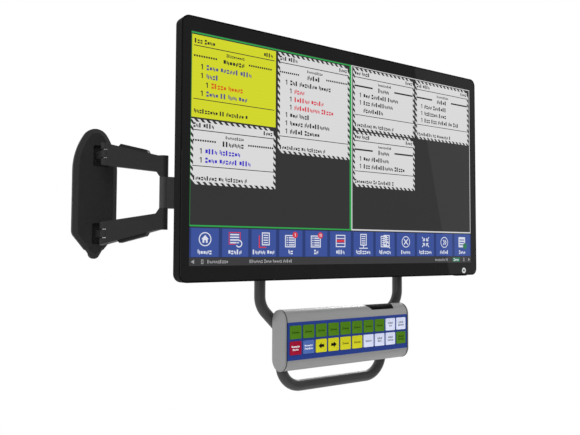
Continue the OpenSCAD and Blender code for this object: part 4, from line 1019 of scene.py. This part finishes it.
class KITCHEN_OT_stage(bpy.types.Operator):
    """Camera, pale floor, soft lamps and the white room"""
    bl_idname = "kitchen.stage"
    bl_label = "Stage"

    def camera(self, stage):
        """Sets up the camera; gives the normal of the plane that parts the room's darker and paler side."""
        data = bpy.data.cameras.new("photo_camera")
        data.sensor_fit = "HORIZONTAL"
        data.sensor_width = 36.0
        data.lens = stage.lens
        made = bpy.data.objects.new("photo_camera", data)
        # Its own axes, as fitted to the corners of the screen
        right = Vector((0.8215, -0.5702, 0.0041)).normalized()
        ahead = Vector((0.5694, 0.8206, 0.0487)).normalized()
        up = right.cross(ahead).normalized()
        right = ahead.cross(up)
        axes = Matrix((right, up, -ahead)).transposed().to_4x4()
        made.matrix_world = Matrix.Translation(SCREEN + Vector(stage.camera_place)) @ axes
        bpy.context.scene.collection.objects.link(made)
        bpy.context.scene.camera = made
        mirrored = []
        for spot in (BAND_TOP, BAND_FOOT):
            across, down = (spot[i] - IMAGE[i] / 2 for i in (0, 1))
            ray = ahead + (right * across - up * down) * data.sensor_width / data.lens / IMAGE[0]
            mirrored.append(Vector((ray.x, -ray.y, ray.z)))
        return mirrored[0].cross(mirrored[1]).normalized()

    def floor(self, stage):
        """Pale floor: plain paint in the middle, fading into the white room at its rim."""
        fade_start, fade_end, unseen_glow = 0.45 * stage.floor_size, 0.97 * stage.floor_size, 0.05
        box_middle = (CAD_BOX[0] + CAD_BOX[1]) / 2
        middle = (box_middle.x, box_middle.y, stage.floor_drop)
        bm = bmesh.new()
        bmesh.ops.create_circle(bm, cap_ends=True, segments=96, radius=stage.floor_size,
                                matrix=Matrix.Translation(middle))
        mesh = bpy.data.meshes.new("studio_floor")
        bm.to_mesh(mesh)
        bm.free()
        floor = bpy.data.objects.new("studio_floor", mesh)
        bpy.context.scene.collection.objects.link(floor)
        paint, tree, shader, place = start_finish("floor_paint", tuple(stage.paper), {
            "Roughness": 0.9, "Specular IOR Level": 0.1})
        away = add(tree, "ShaderNodeVectorMath", {1: middle}, {0: place}, operation="DISTANCE")
        fade = add(tree, "ShaderNodeMapRange", {"From Min": fade_start, "From Max": fade_end},
                   {"Value": away.outputs["Value"]}, interpolation_type="SMOOTHERSTEP")
        path = add(tree, "ShaderNodeLightPath").outputs
        seen = path["Is Camera Ray"]
        for ray in ("Is Glossy Ray", "Is Transmission Ray"):
            seen = add(tree, "ShaderNodeMath", links={0: seen, 1: path[ray]},
                       operation="ADD").outputs["Value"]
        level = add(tree, "ShaderNodeMapRange", {"To Min": unseen_glow, "To Max": 1.0}, {"Value": seen})
        white = add(tree, "ShaderNodeEmission", {"Color": (1.0, 1.0, 1.0, 1.0)},
                    {"Strength": level.outputs["Result"]})
        mix = add(tree, "ShaderNodeMixShader", links={0: fade.outputs["Result"], 1: shader.outputs["BSDF"],
                                                      2: white.outputs["Emission"]})
        tree.links.new(mix.outputs["Shader"], tree.nodes["Material Output"].inputs["Surface"])
        mesh.materials.append(paint)

    def room(self, stage, edge):
        """Room: white where it is seen, and an even grey for its light. Shiny surfaces see it darker in front
        of the screen, with a paler wall to the right, which the glass shows as a slanting band."""
        dark, pale, softness = 0.15, 0.36, 0.0012
        aside, facing = 0.05, 0.3
        world = bpy.data.worlds.new("studio_room")
        bpy.context.scene.world = world
        world.use_nodes = True
        tree = world.node_tree
        tree.nodes.clear()
        path = add(tree, "ShaderNodeLightPath").outputs
        way = add(tree, "ShaderNodeTexCoord").outputs["Generated"]
        front = add(tree, "ShaderNodeVectorMath", {1: (0.0, -1.0, 0.0)}, {0: way}, operation="DOT_PRODUCT")
        side = add(tree, "ShaderNodeVectorMath", {1: edge}, {0: way}, operation="DOT_PRODUCT")
        wall = add(tree, "ShaderNodeMapRange", {"From Min": -softness, "From Max": softness,
                                                "To Min": dark, "To Max": pale},
                   {"Value": side.outputs["Value"]}, interpolation_type="SMOOTHSTEP")
        turn = add(tree, "ShaderNodeMapRange", {"From Min": aside, "From Max": facing,
                                                "To Min": 1.0, "To Max": 0.0},
                   {"Value": front.outputs["Value"]}, interpolation_type="SMOOTHSTEP")
        shiny = add(tree, "ShaderNodeMath", links={0: path["Is Glossy Ray"], 1: path["Is Transmission Ray"]},
                    operation="MAXIMUM")
        seen = add(tree, "ShaderNodeMix", {"B": 1.0},
                   {"Factor": turn.outputs["Result"], "A": wall.outputs["Result"]})
        light = add(tree, "ShaderNodeMix", {"A": stage.room},
                    {"Factor": shiny.outputs["Value"], "B": seen.outputs["Result"]})
        strength = add(tree, "ShaderNodeMix", {"B": 1.0},
                       {"Factor": path["Is Camera Ray"], "A": light.outputs["Result"]})
        sky = add(tree, "ShaderNodeBackground", {"Color": (1.0, 1.0, 1.0, 1.0)},
                  {"Strength": strength.outputs["Result"]})
        add(tree, "ShaderNodeOutputWorld", links={"Surface": sky.outputs["Background"]})

    def execute(self, context):
        stage = look().stage
        bpy.context.scene.view_settings.view_transform = "Standard"
        edge = self.camera(stage)
        self.floor(stage)
        self.room(stage, edge)
        # Lamps: place, aim, size, power, and whether shiny surfaces mirror the lamp; the rim light gives the
        # highlight along the top of the bar
        for name, place, aim, size, power, mirrored in (
                ("soft_key", (-1.0, -1.5, 1.9), (0.25, -0.2, 0.0), (1.6, 1.6), stage.key_power, False),
                ("soft_fill", (1.9, -1.6, 0.3), (0.3, -0.2, 0.0), (1.4, 1.6), stage.fill_power, False),
                ("soft_side", (-1.5, -1.35, -0.25), (0.1, -0.12, -0.05), (1.2, 1.2), stage.side_power, True),
                ("soft_back", (0.9, 1.7, 1.2), (0.2, -0.1, 0.0), (1.6, 1.4), stage.back_power, False),
                ("rim_light", (1.6, 0.9, 0.75), (0.365, -0.21, -0.17), (0.3, 0.4), stage.rim_power, True)):
            data = bpy.data.lights.new(name, "AREA")
            data.shape = "RECTANGLE"
            data.size, data.size_y = size
            data.energy = power
            made = bpy.data.objects.new(name, data)
            made.location = place
            made.rotation_euler = (Vector(aim) - Vector(place)).to_track_quat("-Z", "Y").to_euler()
            made.visible_camera = False
            made.visible_glossy = mirrored
            bpy.context.scene.collection.objects.link(made)
        return {"FINISHED"}


OPERATORS = (KITCHEN_OT_finishes, KITCHEN_OT_cover_glass, KITCHEN_OT_picture, KITCHEN_OT_bezel_marks,
             KITCHEN_OT_key_caps, KITCHEN_OT_end_caps, KITCHEN_OT_tube, KITCHEN_OT_screws, KITCHEN_OT_stage)


class KITCHEN_PT_panel(bpy.types.Panel):
    """Lists the pieces of the kitchen display"""
    bl_idname = "KITCHEN_PT_panel"
    bl_label = "Kitchen display"
    bl_space_type = "VIEW_3D"
    bl_region_type = "UI"
    bl_category = "Kitchen display"

    def draw(self, context):
        for operator in OPERATORS:
            self.layout.operator(operator.bl_idname)
        for group in ("screen", "bar", "tube", "stage"):
            box = self.layout.box()
            settings = getattr(context.scene.kitchen_display, group)
            for name in settings.bl_rna.properties.keys():
                if name not in ("rna_type", "name"):
                    box.prop(settings, name)


CLASSES = (ScreenLook, BarLook, TubeLook, StageLook, KitchenDisplayLook, *OPERATORS, KITCHEN_PT_panel)


def register():
    for kind in CLASSES:
        bpy.utils.register_class(kind)
    bpy.types.Scene.kitchen_display = PointerProperty(type=KitchenDisplayLook)


def unregister():
    del bpy.types.Scene.kitchen_display
    for kind in reversed(CLASSES):
        bpy.utils.unregister_class(kind)


def main():
    register()
    for operator in OPERATORS:
        group, name = operator.bl_idname.split(".")
        getattr(getattr(bpy.ops, group), name)()


if __name__ == "__main__":
    main()
